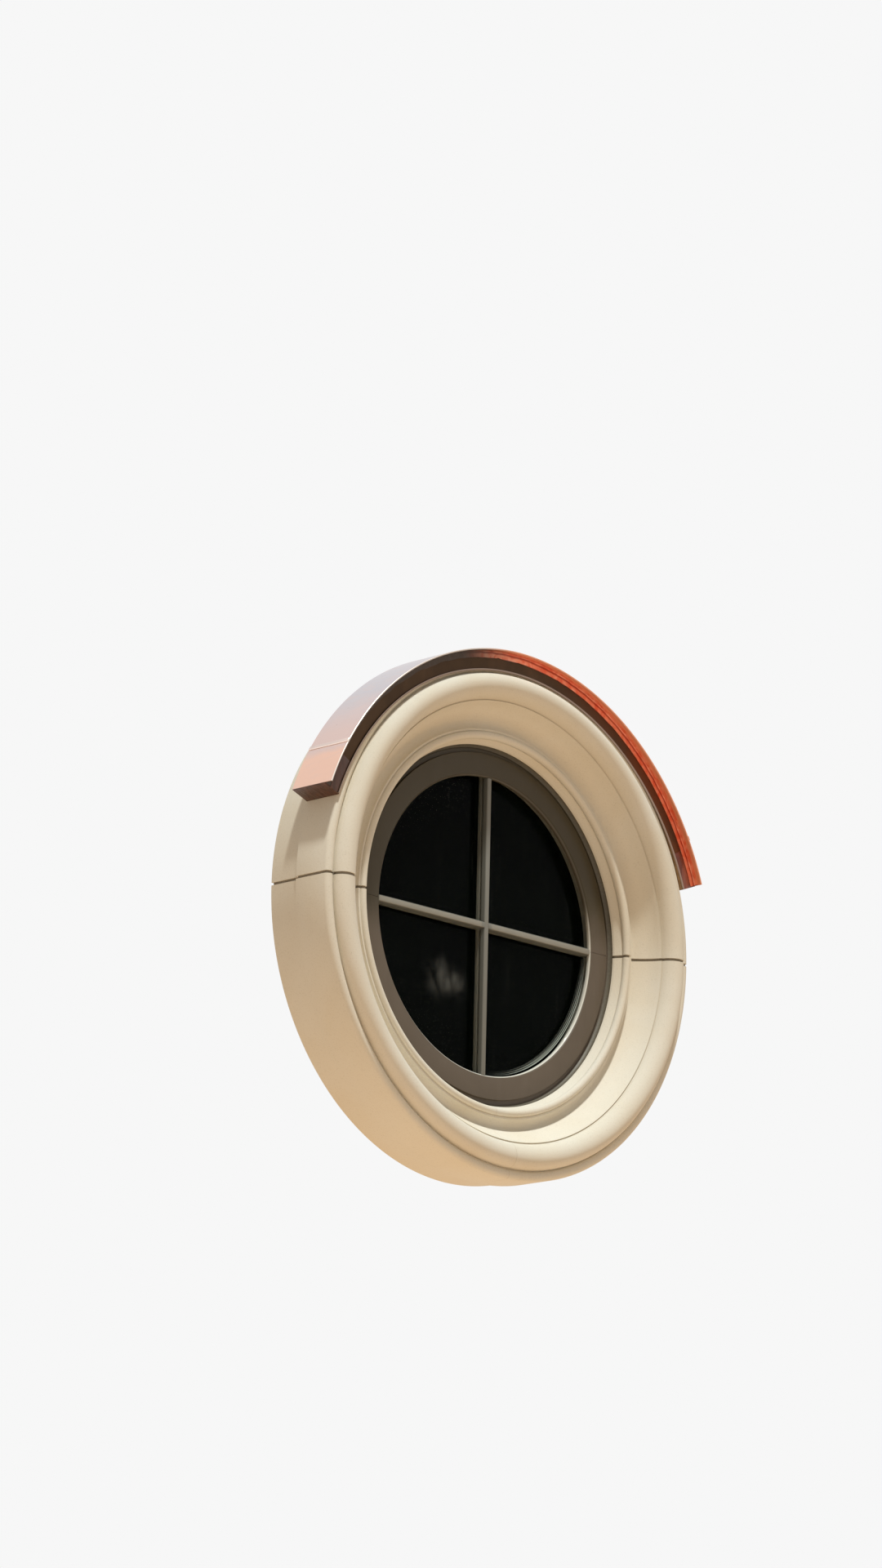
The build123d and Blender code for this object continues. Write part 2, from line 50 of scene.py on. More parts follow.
Rgb = tuple[float, float, float]

# Lengths in metres: a millimetre, the reach of a cut, and how near two vertices are one
MM = 0.001
CUT = 1e-7
WELD = 1e-6
SLIVER = 6e-6

# In millimetres: what is left open between a wire's last two points
CLOSE = 0.01

FULL_TURN = 360.0
HALF_TURN = 180.0
AXIS = Vector((0.0, -1.0, 0.0))
ROOT = "root"
LOG = logging.getLogger("window")


class Slot(Enum):
    """Material slots of the record."""

    STONE = "cast_stone"
    MORTAR = "mortar"
    STAINLESS = "stainless"
    TIMBER = "timber"
    INSIDE_TIMBER = "inside_timber"
    FACING = "brown_facing"
    BAR = "bar_metal"
    SPACER = "spacer_metal"
    GLASS = "glass"
    SEALANT = "sealant"
    EDGE_RUBBER = "edge_rubber"
    FOAM = "backing_foam"
    BLOCK = "block_rubber"
    PLASTIC = "packer_plastic"
    SHEET_COPPER = "sheet_copper"
    TRIM_COPPER = "trim_copper"
    FASCIA_COPPER = "fascia_copper"
    FELT = "underlay_felt"
    PLYWOOD = "plywood"


# Shader values and materials


class Value:
    """A shader socket that takes arithmetic."""

    def __init__(self, tree: "Tree", socket: bpy.types.NodeSocket) -> None:
        """Wrap a socket of a tree."""
        self.tree = tree
        self.socket = socket

    def __add__(self, other: "Value | float") -> "Value":
        """Sum."""
        return self.tree.maths("ADD", self, other)

    def __sub__(self, other: "Value | float") -> "Value":
        """Difference."""
        return self.tree.maths("SUBTRACT", self, other)

    def __rsub__(self, other: float) -> "Value":
        """Difference from a number."""
        return self.tree.maths("SUBTRACT", other, self)

    def __mul__(self, other: "Value | float") -> "Value":
        """Product."""
        return self.tree.maths("MULTIPLY", self, other)

    def __truediv__(self, other: "Value | float") -> "Value":
        """Quotient."""
        return self.tree.maths("DIVIDE", self, other)

    __radd__ = __add__
    __rmul__ = __mul__

    def size(self) -> "Value":
        """Absolute value."""
        return self.tree.maths("ABSOLUTE", self)

    def above(self, edge: float, blur: float) -> "Value":
        """Mask that rises from 0 to 1 across an edge.

        Args:
            edge: value where the mask is a half.
            blur: width of the rise.

        Returns:
            The mask.
        """
        ends = {"From Min": edge - blur / 2, "From Max": edge + blur / 2}
        settings = {"interpolation_type": "SMOOTHSTEP"}
        node = self.tree.node("ShaderNodeMapRange", settings, {"Value": self, **ends})
        return self.tree.pick(node, "Result")

    def near(self, centre: float, reach: float) -> "Value":
        """Mask that is 1 at a value and fades to 0 at a distance from it."""
        return 1 - (self - centre).size().above(reach / 2, reach)

    def between(self, low: float, high: float, blur: float) -> "Value":
        """Mask of a band of values."""
        return self.above(low, blur) * (1 - self.above(high, blur))


class Tree:
    """A node tree, filled from empty."""

    def __init__(self, owner: bpy.types.Material | bpy.types.World) -> None:
        """Clear a tree.

        Args:
            owner: the material or world that it belongs to.
        """
        owner.use_nodes = True
        self.nodes = owner.node_tree.nodes
        self.links = owner.node_tree.links
        self.nodes.clear()

    def node(
        self, kind: str, settings: dict[str, Any] | None = None, inputs: dict[str | int, Any] | None = None
    ) -> bpy.types.Node:
        """Add a node.

        Args:
            kind: the node's type.
            settings: properties set first; "stops" fills a ramp with (place, colour) pairs.
            inputs: values or links of the node's sockets.

        Returns:
            The node.
        """
        node = self.nodes.new(kind)
        for key, setting in (settings or {}).items():
            if key != "stops":
                setattr(node, key, setting)
                continue
            elements = node.color_ramp.elements
            while len(elements) < len(setting):
                elements.new(0.5)
            for element, (place, colour) in zip(elements, setting):
                element.position = place
                element.color = (*colour, 1.0)
        for key, item in (inputs or {}).items():
            if isinstance(item, Value):
                self.links.new(item.socket, node.inputs[key])
            elif isinstance(item, tuple) and node.inputs[key].type == "RGBA":
                node.inputs[key].default_value = (*item, 1.0)
            else:
                node.inputs[key].default_value = item
        return node

    def pick(self, node: bpy.types.Node, output: str | int = 0) -> Value:
        """Take one output of a node."""
        return Value(self, node.outputs[output])

    def maths(self, operation: str, *items: "Value | float") -> Value:
        """Add a Math node on numbers."""
        return self.pick(self.node("ShaderNodeMath", {"operation": operation}, dict(enumerate(items))))

    def mix(self, mask: "Value | float", first: "Value | Rgb", second: "Value | Rgb") -> Value:
        """Blend two colours by a mask."""
        return self.pick(self.node("ShaderNodeMix", {"data_type": "RGBA"}, {0: mask, 6: first, 7: second}), 2)

    def seen(self) -> Value:
        """Mask of what the camera sees, also through glass and in gloss.

        Returns:
            The mask: 1 for such a ray, and 0 for one that only brings light to the object.
        """
        path = self.node("ShaderNodeLightPath")
        mirrored = self.maths("MAXIMUM", self.pick(path, "Is Camera Ray"), self.pick(path, "Is Glossy Ray"))
        return self.maths("MAXIMUM", mirrored, self.pick(path, "Is Transmission Ray"))


class Paint(Tree):
    """One procedural material on a Principled BSDF."""

    def __init__(self, name: str, **constants: float) -> None:
        """Start a material.

        Args:
            name: the material's name.
            constants: socket names, with underscores for spaces, and their fixed values.
        """
        self.material = bpy.data.materials.new(name)
        super().__init__(self.material)
        self.shader = self.node("ShaderNodeBsdfPrincipled")
        for key, value in constants.items():
            self.shader.inputs[key.replace("_", " ")].default_value = value
        self.node("ShaderNodeOutputMaterial", None, {"Surface": self.pick(self.shader)})
        self.place = self.pick(self.node("ShaderNodeTexCoord"), "Object")

    def stretched(self, scale: tuple[float, float, float], turn: float = 0.0) -> Value:
        """Object coordinates scaled along each axis and turned about Y."""
        inputs = {"Vector": self.place, "Scale": scale, "Rotation": (0.0, turn, 0.0)}
        return self.pick(self.node("ShaderNodeMapping", None, inputs))

    def noise(
        self, scale: float, detail: float = 3.0, where: Value | None = None, warp: float = 0.0
    ) -> Value:
        """Cloudy noise from 0 to 1.

        Args:
            scale: clouds to the metre.
            detail: octaves.
            where: coordinates, if not the object's own.
            warp: distortion.

        Returns:
            The noise.
        """
        inputs = {"Vector": where or self.place, "Scale": scale, "Detail": detail, "Distortion": warp}
        return self.pick(self.node("ShaderNodeTexNoise", None, inputs))

    def cells(self, scale: float, where: Value | None = None) -> Value:
        """Distance to the nearest of scattered points."""
        inputs = {"Vector": where or self.place, "Scale": scale}
        return self.pick(self.node("ShaderNodeTexVoronoi", None, inputs))

    def ramp(self, factor: Value, *stops: tuple[float, Rgb]) -> Value:
        """Colour along a ramp."""
        return self.pick(self.node("ShaderNodeValToRGB", {"stops": stops}, {0: factor}))

    def axes(self) -> tuple[Value, Value, Value]:
        """The three object coordinates."""
        node = self.node("ShaderNodeSeparateXYZ", None, {0: self.place})
        return tuple(self.pick(node, index) for index in range(3))

    def radius(self, drop: float = 0.0) -> Value:
        """Distance from an axis along Y.

        Args:
            drop: how far the axis lies below the origin, in metres.

        Returns:
            The distance.
        """
        x, _, z = self.axes()
        z = z + drop
        return self.maths("SQRT", x * x + z * z)

    def bearing(self, drop: float = 0.0) -> Value:
        """Angle about such an axis in degrees, from the right and upwards."""
        x, _, z = self.axes()
        return self.maths("ARCTAN2", z + drop, x) * (HALF_TURN / math.pi)

    def colour(self, value: Value) -> "Paint":
        """Drive the base colour."""
        return self.drive("Base Color", value)

    def drive(self, socket: str, value: Value) -> "Paint":
        """Drive a socket of the shader."""
        self.links.new(value.socket, self.shader.inputs[socket])
        return self

    def bump(self, *layers: tuple[Value, float]) -> None:
        """Raise the surface in layers.

        Args:
            layers: pairs of a height from 0 to 1 and its depth in metres.
        """
        normal = None
        for height, depth in layers:
            inputs = {"Height": height, "Distance": depth, "Strength": 1.0}
            if normal:
                inputs["Normal"] = normal
            normal = self.pick(self.node("ShaderNodeBump", None, inputs))
        self.drive("Normal", normal)


@dataclass(frozen=True)
class CastStone:
    """Rubbed cast stone: fine sandy grain, a few air holes, faint clouds and a painted shade line along the
    quirk.
    """

    pale: Rgb = (0.79, 0.75, 0.65)
    warm: Rgb = (0.76, 0.695, 0.565)
    soil_and_shade: Rgb = (0.48, 0.41, 0.30)
    joint_tint: Rgb = (0.55, 0.46, 0.34)
    quirk_shade_radius: float = 0.550
    groove_width: float = 0.0035
    front_depth: float = -0.05
    hairline_top: float = -0.3
    hairline_width: float = 0.0011
    wander: float = 0.004
    least_roughness: float = 0.76

    def material(self) -> bpy.types.Material:
        """Build the material.

        Returns:
            The material.
        """
        paint = Paint("cast_stone", Specular_IOR_Level=0.25)
        clouds = paint.noise(3.2, 4.0, warp=0.6)
        grain = paint.noise(900.0, 2.0)
        speckle = paint.noise(260.0, 3.0)
        streaks = paint.noise(9.0, 4.0, paint.stretched((1.0, 1.0, 0.25)))
        base = paint.mix(clouds.above(0.52, 0.5), self.pale, self.warm)
        base = paint.mix(speckle.above(0.62, 0.2) * 0.16, base, self.soil_and_shade)
        base = paint.mix(streaks.above(0.66, 0.3) * 0.18, base, self.warm)
        x, depth, z = paint.axes()
        front = 1 - depth.above(self.front_depth, 0.02)
        # Painted shade: a dark line along the quirk, where the roll shades the hollow; the same colour also
        # darkens speckles and air holes.
        groove = paint.radius().near(self.quirk_shade_radius, self.groove_width) * front
        base = paint.mix(groove * 0.5, base, self.soil_and_shade)
        wander = paint.noise(22.0, 2.0) * self.wander - self.wander / 2
        low = 1 - z.above(self.hairline_top, 0.1)
        hairline = (x + wander).near(0.0, self.hairline_width) * low * front
        base = paint.mix(hairline * 0.55, base, self.joint_tint)
        holes = (1 - paint.cells(120.0).above(0.10, 0.08)) * paint.noise(14.0, 1.0).above(0.62, 0.1)
        base = paint.mix(holes * 0.35, base, self.soil_and_shade)
        paint.drive("Roughness", paint.noise(40.0, 2.0) * 0.12 + self.least_roughness)
        ripple = paint.noise(11.0, 2.0)
        cuts = ((1 - hairline, 0.0004), (1 - holes, 0.0006))
        paint.bump((ripple, 0.0012), (speckle, 0.00025), (grain, 0.00012), *cuts)
        return paint.colour(base).material


@dataclass(frozen=True)
class RakedMortar:
    """Grey brown mortar, sandy and a little uneven."""

    sand: Rgb = (0.30, 0.26, 0.20)
    shade: Rgb = (0.20, 0.17, 0.13)

    def material(self) -> bpy.types.Material:
        """Build the material.

        Returns:
            The material.
        """
        paint = Paint("mortar", Roughness=0.92)
        grain = paint.noise(700.0, 3.0)
        lumps = paint.noise(90.0, 3.0)
        paint.bump((lumps, 0.0010), (grain, 0.0004))
        return paint.colour(paint.mix(grain.above(0.5, 0.4), self.sand, self.shade)).material


@dataclass(frozen=True)
class BakedCoating:
    """Satin factory coating on metal, with a faint orange peel and settled dust.

    A lip colour paints a highlight on the facing's sight edge, and its upper part is painted darker as the
    hood's shadow; a side colour paints shade on a bar's flanks, and an upright colour paints the upright bar
    darker.
    """

    name: str
    body: Rgb
    dusty: Rgb
    roughness: float = 0.42
    dust: float = 0.5
    lip: Rgb | None = None
    lip_highlight_radius: float = 0.3775
    hood_shadowed: Rgb = (0.47, 0.45, 0.28)
    hood_shadow_height: float = 0.06
    hood_shadow_lean: float = -0.15
    side: Rgb | None = None
    upright_shade: Rgb = (0.165, 0.172, 0.158)
    upright_shade_half: float = 0.018
    front_half: float = 0.0070

    def material(self) -> bpy.types.Material:
        """Build the material.

        Returns:
            The material.
        """
        paint = Paint(self.name, Coat_Weight=0.04, Specular_IOR_Level=0.25)
        peel = paint.noise(420.0, 2.0)
        dust = paint.noise(7.0, 4.0, warp=0.8)
        streak = paint.noise(26.0, 3.0, paint.stretched((1.0, 1.0, 0.2)))
        film = dust.above(0.5, 0.5) * self.dust * 0.6 + streak.above(0.6, 0.3) * self.dust * 0.4
        base = paint.mix(film, self.body, self.dusty)
        x, _, z = paint.axes()
        if self.lip:
            # Painted shadow of the hood: the facing is painted darker over its upper part.
            hood_shadow = (z + x * self.hood_shadow_lean + dust * 0.10).above(self.hood_shadow_height, 0.12)
            painted_shade = tuple(part * keep for part, keep in zip(self.body, self.hood_shadowed))
            base = paint.mix(hood_shadow, base, painted_shade)
            # Painted highlight: a pale band on the sight edge's bevel, left out under the painted hood
            # shadow.
            edge = 1 - paint.radius().above(self.lip_highlight_radius, 0.0006)
            base = paint.mix(edge * (1 - hood_shadow * 0.93), base, self.lip)
        if self.side:
            # Painted shade: the upright bar is painted greyer and darker than the crossing bars.
            upright_shade = 1 - x.size().above(self.upright_shade_half, 0.008)
            base = paint.mix(upright_shade * 0.6, base, self.upright_shade)
            # Painted shade on the sloping flanks of every bar.
            flank_shade = paint.maths("MINIMUM", x.size(), z.size()).above(self.front_half, 0.0022)
            base = paint.mix(flank_shade * 0.85, base, self.side)
        paint.drive("Roughness", film * 0.2 + self.roughness)
        paint.bump((paint.noise(18.0, 2.0), 0.0004), (peel, 0.00004))
        return paint.colour(base).material


@dataclass(frozen=True)
class DarkGlass:
    """Clear outer pane, and an inner pane painted near black and nearly opaque as the shade of the unlit room
    behind, with wiped smears, dried drops and a painted reflection of the sight edge.
    """

    tint: Rgb = (0.0016, 0.0026, 0.0017)
    film: Rgb = (0.235, 0.245, 0.225)
    echo: Rgb = (0.62, 0.70, 0.64)
    echoes: tuple[Point, ...] = ((0.0046, 1.0), (0.0086, 0.75), (0.0128, 0.35))
    echo_width: float = 0.0021
    echo_rise: float = 0.8
    echo_bearings: Point = (-72.0, -10.0)
    sight: float = 0.3745
    cavity: float = 0.008
    gloss: float = 0.12
    smear_at: Point = (-0.130, -0.162)
    smear_reach: float = 0.045
    outer_opacity: float = 0.20
    room_shade_opacity: float = 0.985

    def echo_ring(self, paint: Paint, shift: float) -> Value:
        """Mirror the sight edge as a thin ring, moved to the left and up.

        Args:
            paint: the glass's paint.
            shift: how far to the left, in metres.

        Returns:
            The ring's mask.
        """
        across, _, height = paint.axes()
        left, up = across + shift, height - shift * self.echo_rise
        return paint.maths("SQRT", left * left + up * up).near(self.sight, self.echo_width)

    def material(self) -> bpy.types.Material:
        """Build the material.

        Returns:
            The material.
        """
        paint = Paint("glass", Roughness=0.3, Specular_IOR_Level=0.0, Coat_Roughness=0.03)
        across, depth, height = paint.axes()
        # Painted shade: the inner pane is near black and nearly opaque, standing for the unlit room behind.
        inner = depth.above(self.cavity, 0.002)
        sway = paint.noise(14.0, 4.0, warp=0.6) * 0.16 - 0.08
        side, rise = across - self.smear_at[0] + sway, height - self.smear_at[1] - sway * 0.6
        away = paint.maths("SQRT", side * side * 0.8 + rise * rise * 1.6)
        wiped = paint.noise(26.0, 5.0, paint.stretched((1.0, 1.0, 0.4), 0.7), warp=0.9)
        smear = (1 - away.above(self.smear_reach, 0.075)) * wiped.above(0.50, 0.45)
        cloud = smear + wiped.above(0.72, 0.2) * paint.noise(4.5, 2.0).above(0.56, 0.2) * 0.12
        drops = 1 - paint.cells(34.0, paint.stretched((1.0, 1.0, 0.5))).above(0.07, 0.05)
        drops = drops * paint.noise(4.0, 2.0).above(0.56, 0.1)
        runs = paint.noise(60.0, 2.0, paint.stretched((1.0, 1.0, 0.06))).above(0.70, 0.12)
        film = (cloud * 0.7 + drops * 0.15 + runs * 0.09) * (1 - inner)
        # Painted reflection: the sight edge mirrored in thin pale rings at the lower right of the outer pane.
        rings = sum(self.echo_ring(paint, shift) * strength for shift, strength in self.echoes)
        painted_reflection = rings * paint.bearing().between(*self.echo_bearings, 36.0) * (1 - inner)
        paint.drive("Coat Weight", inner * self.gloss)
        cover = film * 0.5 + painted_reflection * 0.8 + self.outer_opacity
        paint.drive("Alpha", inner * (self.room_shade_opacity - self.outer_opacity) + cover)
        base = paint.mix(film, self.tint, self.film)
        return paint.colour(paint.mix(painted_reflection, base, self.echo)).material


@dataclass(frozen=True)
class SheetCopper:
    """Newly weathered sheet copper: lilac over the crown, pink down the sides, salmon at the ends.

    Its tones are partly its own patina and partly painted reflection, of the sky over the crown and of the
    roof towards the ends. Its rolled rim carries painted light, a pale highlight on the left and warm on the
    right; the hem inside is painted orange light on the right and painted shade on the left, and painted
    highlights run along the welt and the seam.
    """

    grey: Rgb = (0.62, 0.56, 0.53)
    lilac: Rgb = (0.60, 0.56, 0.585)
    pink: Rgb = (0.73, 0.555, 0.505)
    salmon_reflection: Rgb = (0.86, 0.565, 0.44)
    brown: Rgb = (0.40, 0.24, 0.18)
    lit_hem: Rgb = (0.97, 0.37, 0.20)
    painted_shade: Rgb = (0.060, 0.038, 0.024)
    pale_rim_highlight: Rgb = (0.74, 0.645, 0.575)
    warm_rim_light: Rgb = (0.80, 0.36, 0.22)
    seam_highlight: Rgb = (1.0, 0.80, 0.70)
    axis_drop: float = 0.036
    hem_radius: float = 0.7069
    welt_highlight_radius: float = 0.7090
    rim_depth: float = -0.1322
    crisp: float = 0.0004
    top: float = 90.0
    fall: float = 70.0
    seam_fall: float = 59.95
    seam_reach: float = 0.34
    shade_bearing: float = 98.0
    metal: float = 0.92

    def material(self) -> bpy.types.Material:
        """Build the material.

        Returns:
            The material.
        """
        paint = Paint("sheet_copper")
        around, radius = paint.bearing(self.axis_drop), paint.radius(self.axis_drop)
        _, depth, _ = paint.axes()
        down = (around - self.top).size()
        drift = paint.noise(5.0, 4.0, warp=1.0)
        # Tone by angle from the top: partly the copper's own patina, partly painted reflection, pale lilac
        # over the crown and salmon towards the ends.
        crown = ((0.15, self.grey), (0.45, self.lilac), (0.62, self.lilac))
        flanks = ((0.80, self.pink), (0.865, self.pink), (0.89, self.salmon_reflection))
        base = paint.ramp(down / self.fall + drift * 0.10 - 0.05, *crown, *flanks)
        bloom = paint.noise(30.0, 5.0, paint.stretched((1.0, 0.35, 1.0)), warp=1.5)
        base = paint.mix(bloom.above(0.60, 0.25) * 0.30, base, self.pink)
        spots = (1 - paint.cells(55.0).above(0.12, 0.1)) * paint.noise(9.0, 2.0).above(0.58, 0.1)
        base = paint.mix(spots * 0.4, base, self.brown)
        # Painted highlight on the welt's top.
        welt = radius.above(self.welt_highlight_radius, self.crisp)
        base = paint.mix(welt * 0.5, base, self.pale_rim_highlight)
        # Painted highlight: a pale line along the seam beside the welt.
        seam = down.near(self.seam_fall, self.seam_reach)
        base = paint.mix(seam * 0.9, base, self.seam_highlight)
        # Painted light on the rolled rim's front: a pale highlight on the left, warm light on the right.
        left = around.above(self.shade_bearing, 14.0)
        rim = 1 - depth.above(self.rim_depth, 0.0020)
        base = paint.mix(rim, base, paint.mix(left, self.warm_rim_light, self.pale_rim_highlight))
        # Painted light and shade inside the hem: lit orange on the right, dark shade on the left.
        inside = 1 - radius.above(self.hem_radius, self.crisp)
        base = paint.mix(inside * (1 - rim * 0.7), base, paint.mix(left, self.lit_hem, self.painted_shade))
        paint.drive("Metallic", self.metal - inside * 0.5)
        paint.drive("Roughness", bloom * 0.22 + 0.24)
        rolled = paint.noise(500.0, 2.0, paint.stretched((1.0, 0.1, 1.0)))
        paint.bump((paint.noise(6.0, 2.0, warp=0.4), 0.0030), (rolled, 0.00003))
        return paint.colour(base).material


@dataclass(frozen=True)
class TrimCopper:
    """Orange trim copper, wavy from the folding, with streaked end tabs; its strong orange is partly painted
    light, its left side and left tab are painted brown as shade, and painted shade lines run along the fold
    and the leg's edge.
    """

    bright: Rgb = (1.0, 0.42, 0.25)
    deep: Rgb = (0.86, 0.17, 0.075)
    fold: Rgb = (0.30, 0.035, 0.014)
    brown: Rgb = (0.064, 0.041, 0.026)
    tab: Rgb = (0.135, 0.030, 0.014)
    streak: Rgb = (0.27, 0.085, 0.050)
    axis_drop: float = 0.036
    fold_radius: float = 0.7046
    edge_radius: float = 0.6895
    tab_radius: float = 0.6880
    leg_front: float = -0.1122
    top: float = 90.0
    shade_bearing: float = 98.0
    end_bearing: float = 20.62

    def material(self) -> bpy.types.Material:
        """Build the material.

        Returns:
            The material.
        """
        paint = Paint("trim_copper", Specular_IOR_Level=0.4)
        waves = paint.noise(30.0, 4.0, paint.stretched((1.0, 2.5, 1.0)), warp=1.2)
        around, radius = paint.bearing(self.axis_drop), paint.radius(self.axis_drop)
        _, depth, _ = paint.axes()
        # The orange is partly the new copper's own colour and partly painted light.
        base = paint.mix(waves.above(0.5, 0.35), self.bright, self.deep)
        wander = paint.noise(34.0, 3.0) * 0.006 - 0.003
        # Painted shade: dark lines along the fold's corner and along the leg's free edge.
        leg = depth.above(self.leg_front, 0.0015)
        fold_shade_line = (radius + wander).near(self.fold_radius - 0.003, 0.0045) * leg
        base = paint.mix(fold_shade_line * 0.8, base, self.fold)
        edge = (1 - (radius + wander * 0.5).above(self.edge_radius, 0.002)) * leg
        base = paint.mix(edge * 0.7, base, self.fold)
        # Painted shade: the strip turns brown past the top towards the left.
        base = paint.mix(around.above(self.shade_bearing, 20.0), base, self.brown)
        long = paint.noise(75.0, 3.0, paint.stretched((1.0, 1.0, 0.12)))
        patch = paint.mix(long.above(0.52, 0.25), self.tab, self.streak)
        # Painted shade: the left end tab is turned brown.
        patch = paint.mix(around.above(self.top, 4.0) * 0.75, patch, self.brown)
        past_end = (around - self.top).size().above(self.top - self.end_bearing, 0.1)
        ends = 1 - (1 - past_end) * radius.above(self.tab_radius, 0.0002)
        base = paint.mix(ends, base, patch)
        paint.drive("Metallic", 0.55 - ends * 0.40)
        paint.drive("Roughness", waves * 0.3 + 0.22)
        paint.bump((waves, 0.0016), (long, 0.0004), (paint.noise(700.0, 2.0), 0.00003))
        return paint.colour(base).material


@dataclass(frozen=True)
class FasciaCopper:
    """Dark brown aged copper of the board behind the roll, redder to the right, with a painted highlight on
    its hem and a painted shade line in the crease beside it.
    """

    dark: Rgb = (0.064, 0.036, 0.018)
    mid: Rgb = (0.100, 0.056, 0.028)
    red: Rgb = (0.140, 0.040, 0.013)
    hem_highlight: Rgb = (0.40, 0.30, 0.24)
    crease_shade: Rgb = (0.012, 0.008, 0.006)
    axis_drop: float = 0.036
    hem_radius: float = 0.6609
    red_bearing: float = 62.0

    def material(self) -> bpy.types.Material:
        """Build the material.

        Returns:
            The material.
        """
        paint = Paint("fascia_copper", Metallic=0.5, Specular_IOR_Level=0.1)
        runs = paint.noise(20.0, 4.0, paint.stretched((1.0, 1.0, 0.5)), warp=0.8)
        clouds = paint.noise(8.0, 3.0)
        base = paint.mix(runs.above(0.5, 0.5) * 0.5 + clouds.above(0.55, 0.3) * 0.4, self.dark, self.mid)
        radius, around = paint.radius(self.axis_drop), paint.bearing(self.axis_drop)
        right = 1 - around.above(self.red_bearing, 50.0)
        base = paint.mix(right * clouds.above(0.42, 0.4), base, self.red)
        # Painted highlight on the hem's rolled edge.
        hem = 1 - radius.above(self.hem_radius, 0.0006)
        base = paint.mix(hem * 0.85, base, self.hem_highlight)
        # Painted shade: a dark line in the crease beside the hem.
        crease_shade = radius.near(self.hem_radius + 0.0004, 0.0010)
        base = paint.mix(crease_shade * 0.8, base, self.crease_shade)
        paint.drive("Roughness", runs * 0.2 + 0.36)
        paint.bump((clouds, 0.0016), (runs, 0.0003))
        return paint.colour(base).material


@dataclass(frozen=True)
class Grained:
    """Timber with long grain along Y, or wavy layers round a ring."""

    name: str
    light: Rgb
    dark: Rgb
    scale: float = 60.0
    roughness: float = 0.6

    def material(self) -> bpy.types.Material:
        """Build the material.

        Returns:
            The material.
        """
        paint = Paint(self.name, Roughness=self.roughness)
        long = paint.noise(self.scale, 4.0, paint.stretched((1.0, 0.12, 1.0)), warp=0.8)
        fine = paint.noise(self.scale * 8, 3.0, paint.stretched((1.0, 0.05, 1.0)))
        paint.bump((long, 0.0003), (fine, 0.00015))
        grain = long.above(0.5, 0.4) * 0.8 + fine * 0.2
        return paint.colour(paint.mix(grain, self.light, self.dark)).material


@dataclass(frozen=True)
class Mottled:
    """Plain finish with a fine mottle, for rubber, foam, felt, plastic and plain metal."""

    name: str
    light: Rgb
    dark: Rgb
    roughness: float
    metallic: float = 0.0
    grain: float = 400.0
    depth: float = 0.0001

    def material(self) -> bpy.types.Material:
        """Build the material.

        Returns:
            The material.
        """
        paint = Paint(self.name, Metallic=self.metallic)
        mottle = paint.noise(self.grain, 3.0)
        broad = paint.noise(self.grain / 12, 2.0)
        paint.drive("Roughness", broad * 0.15 + (self.roughness - 0.07))
        paint.bump((mottle, self.depth))
        blend = mottle.above(0.5, 0.5) * 0.6 + broad * 0.4
        return paint.colour(paint.mix(blend, self.light, self.dark)).material


FINISHES = {
    Slot.STONE: CastStone(),
    Slot.MORTAR: RakedMortar(),
    # Brown facing: its lip colour is a painted highlight on the sight edge, and its upper part carries a
    # painted hood shadow.
    Slot.FACING: BakedCoating(
        "brown_facing", (0.118, 0.092, 0.065), (0.160, 0.128, 0.097), lip=(0.66, 0.645, 0.57)
    ),
    # Bar metal: its side colour is painted shade on the bars' flanks.
    Slot.BAR: BakedCoating(
        "bar_metal", (0.285, 0.275, 0.235), (0.360, 0.345, 0.300), roughness=0.38, side=(0.072, 0.073, 0.060)
    ),
    Slot.GLASS: DarkGlass(),
    Slot.SHEET_COPPER: SheetCopper(),
    Slot.TRIM_COPPER: TrimCopper(),
    Slot.FASCIA_COPPER: FasciaCopper(),
    Slot.TIMBER: Grained("timber", (0.52, 0.36, 0.20), (0.36, 0.22, 0.11)),
    Slot.INSIDE_TIMBER: Grained(
        "inside_timber", (0.74, 0.71, 0.65), (0.66, 0.62, 0.55), scale=40.0, roughness=0.45
    ),
    Slot.PLYWOOD: Grained("plywood", (0.58, 0.42, 0.25), (0.42, 0.28, 0.15), scale=30.0),
    Slot.STAINLESS: Mottled(
        "stainless", (0.62, 0.61, 0.59), (0.50, 0.49, 0.48), 0.34, metallic=1.0, grain=900.0, depth=0.00003
    ),
    Slot.SPACER: Mottled(
        "spacer_metal", (0.50, 0.49, 0.40), (0.40, 0.39, 0.31), 0.42, metallic=0.2, grain=700.0, depth=0.00003
    ),
    Slot.SEALANT: Mottled(
        "sealant", (0.135, 0.115, 0.075), (0.085, 0.072, 0.048), 0.55, grain=160.0, depth=0.0003
    ),
    Slot.EDGE_RUBBER: Mottled("edge_rubber", (0.030, 0.030, 0.030), (0.018, 0.018, 0.018), 0.6),
    Slot.FOAM: Mottled(
        "backing_foam", (0.46, 0.46, 0.46), (0.34, 0.34, 0.34), 0.9, grain=600.0, depth=0.0004
    ),
    Slot.BLOCK: Mottled("block_rubber", (0.10, 0.10, 0.10), (0.06, 0.06, 0.06), 0.7),
    Slot.PLASTIC: Mottled("packer_plastic", (0.16, 0.18, 0.22), (0.12, 0.14, 0.17), 0.5),
    Slot.FELT: Mottled(
        "underlay_felt", (0.05, 0.05, 0.05), (0.03, 0.03, 0.03), 0.9, grain=300.0, depth=0.0005
    ),
}


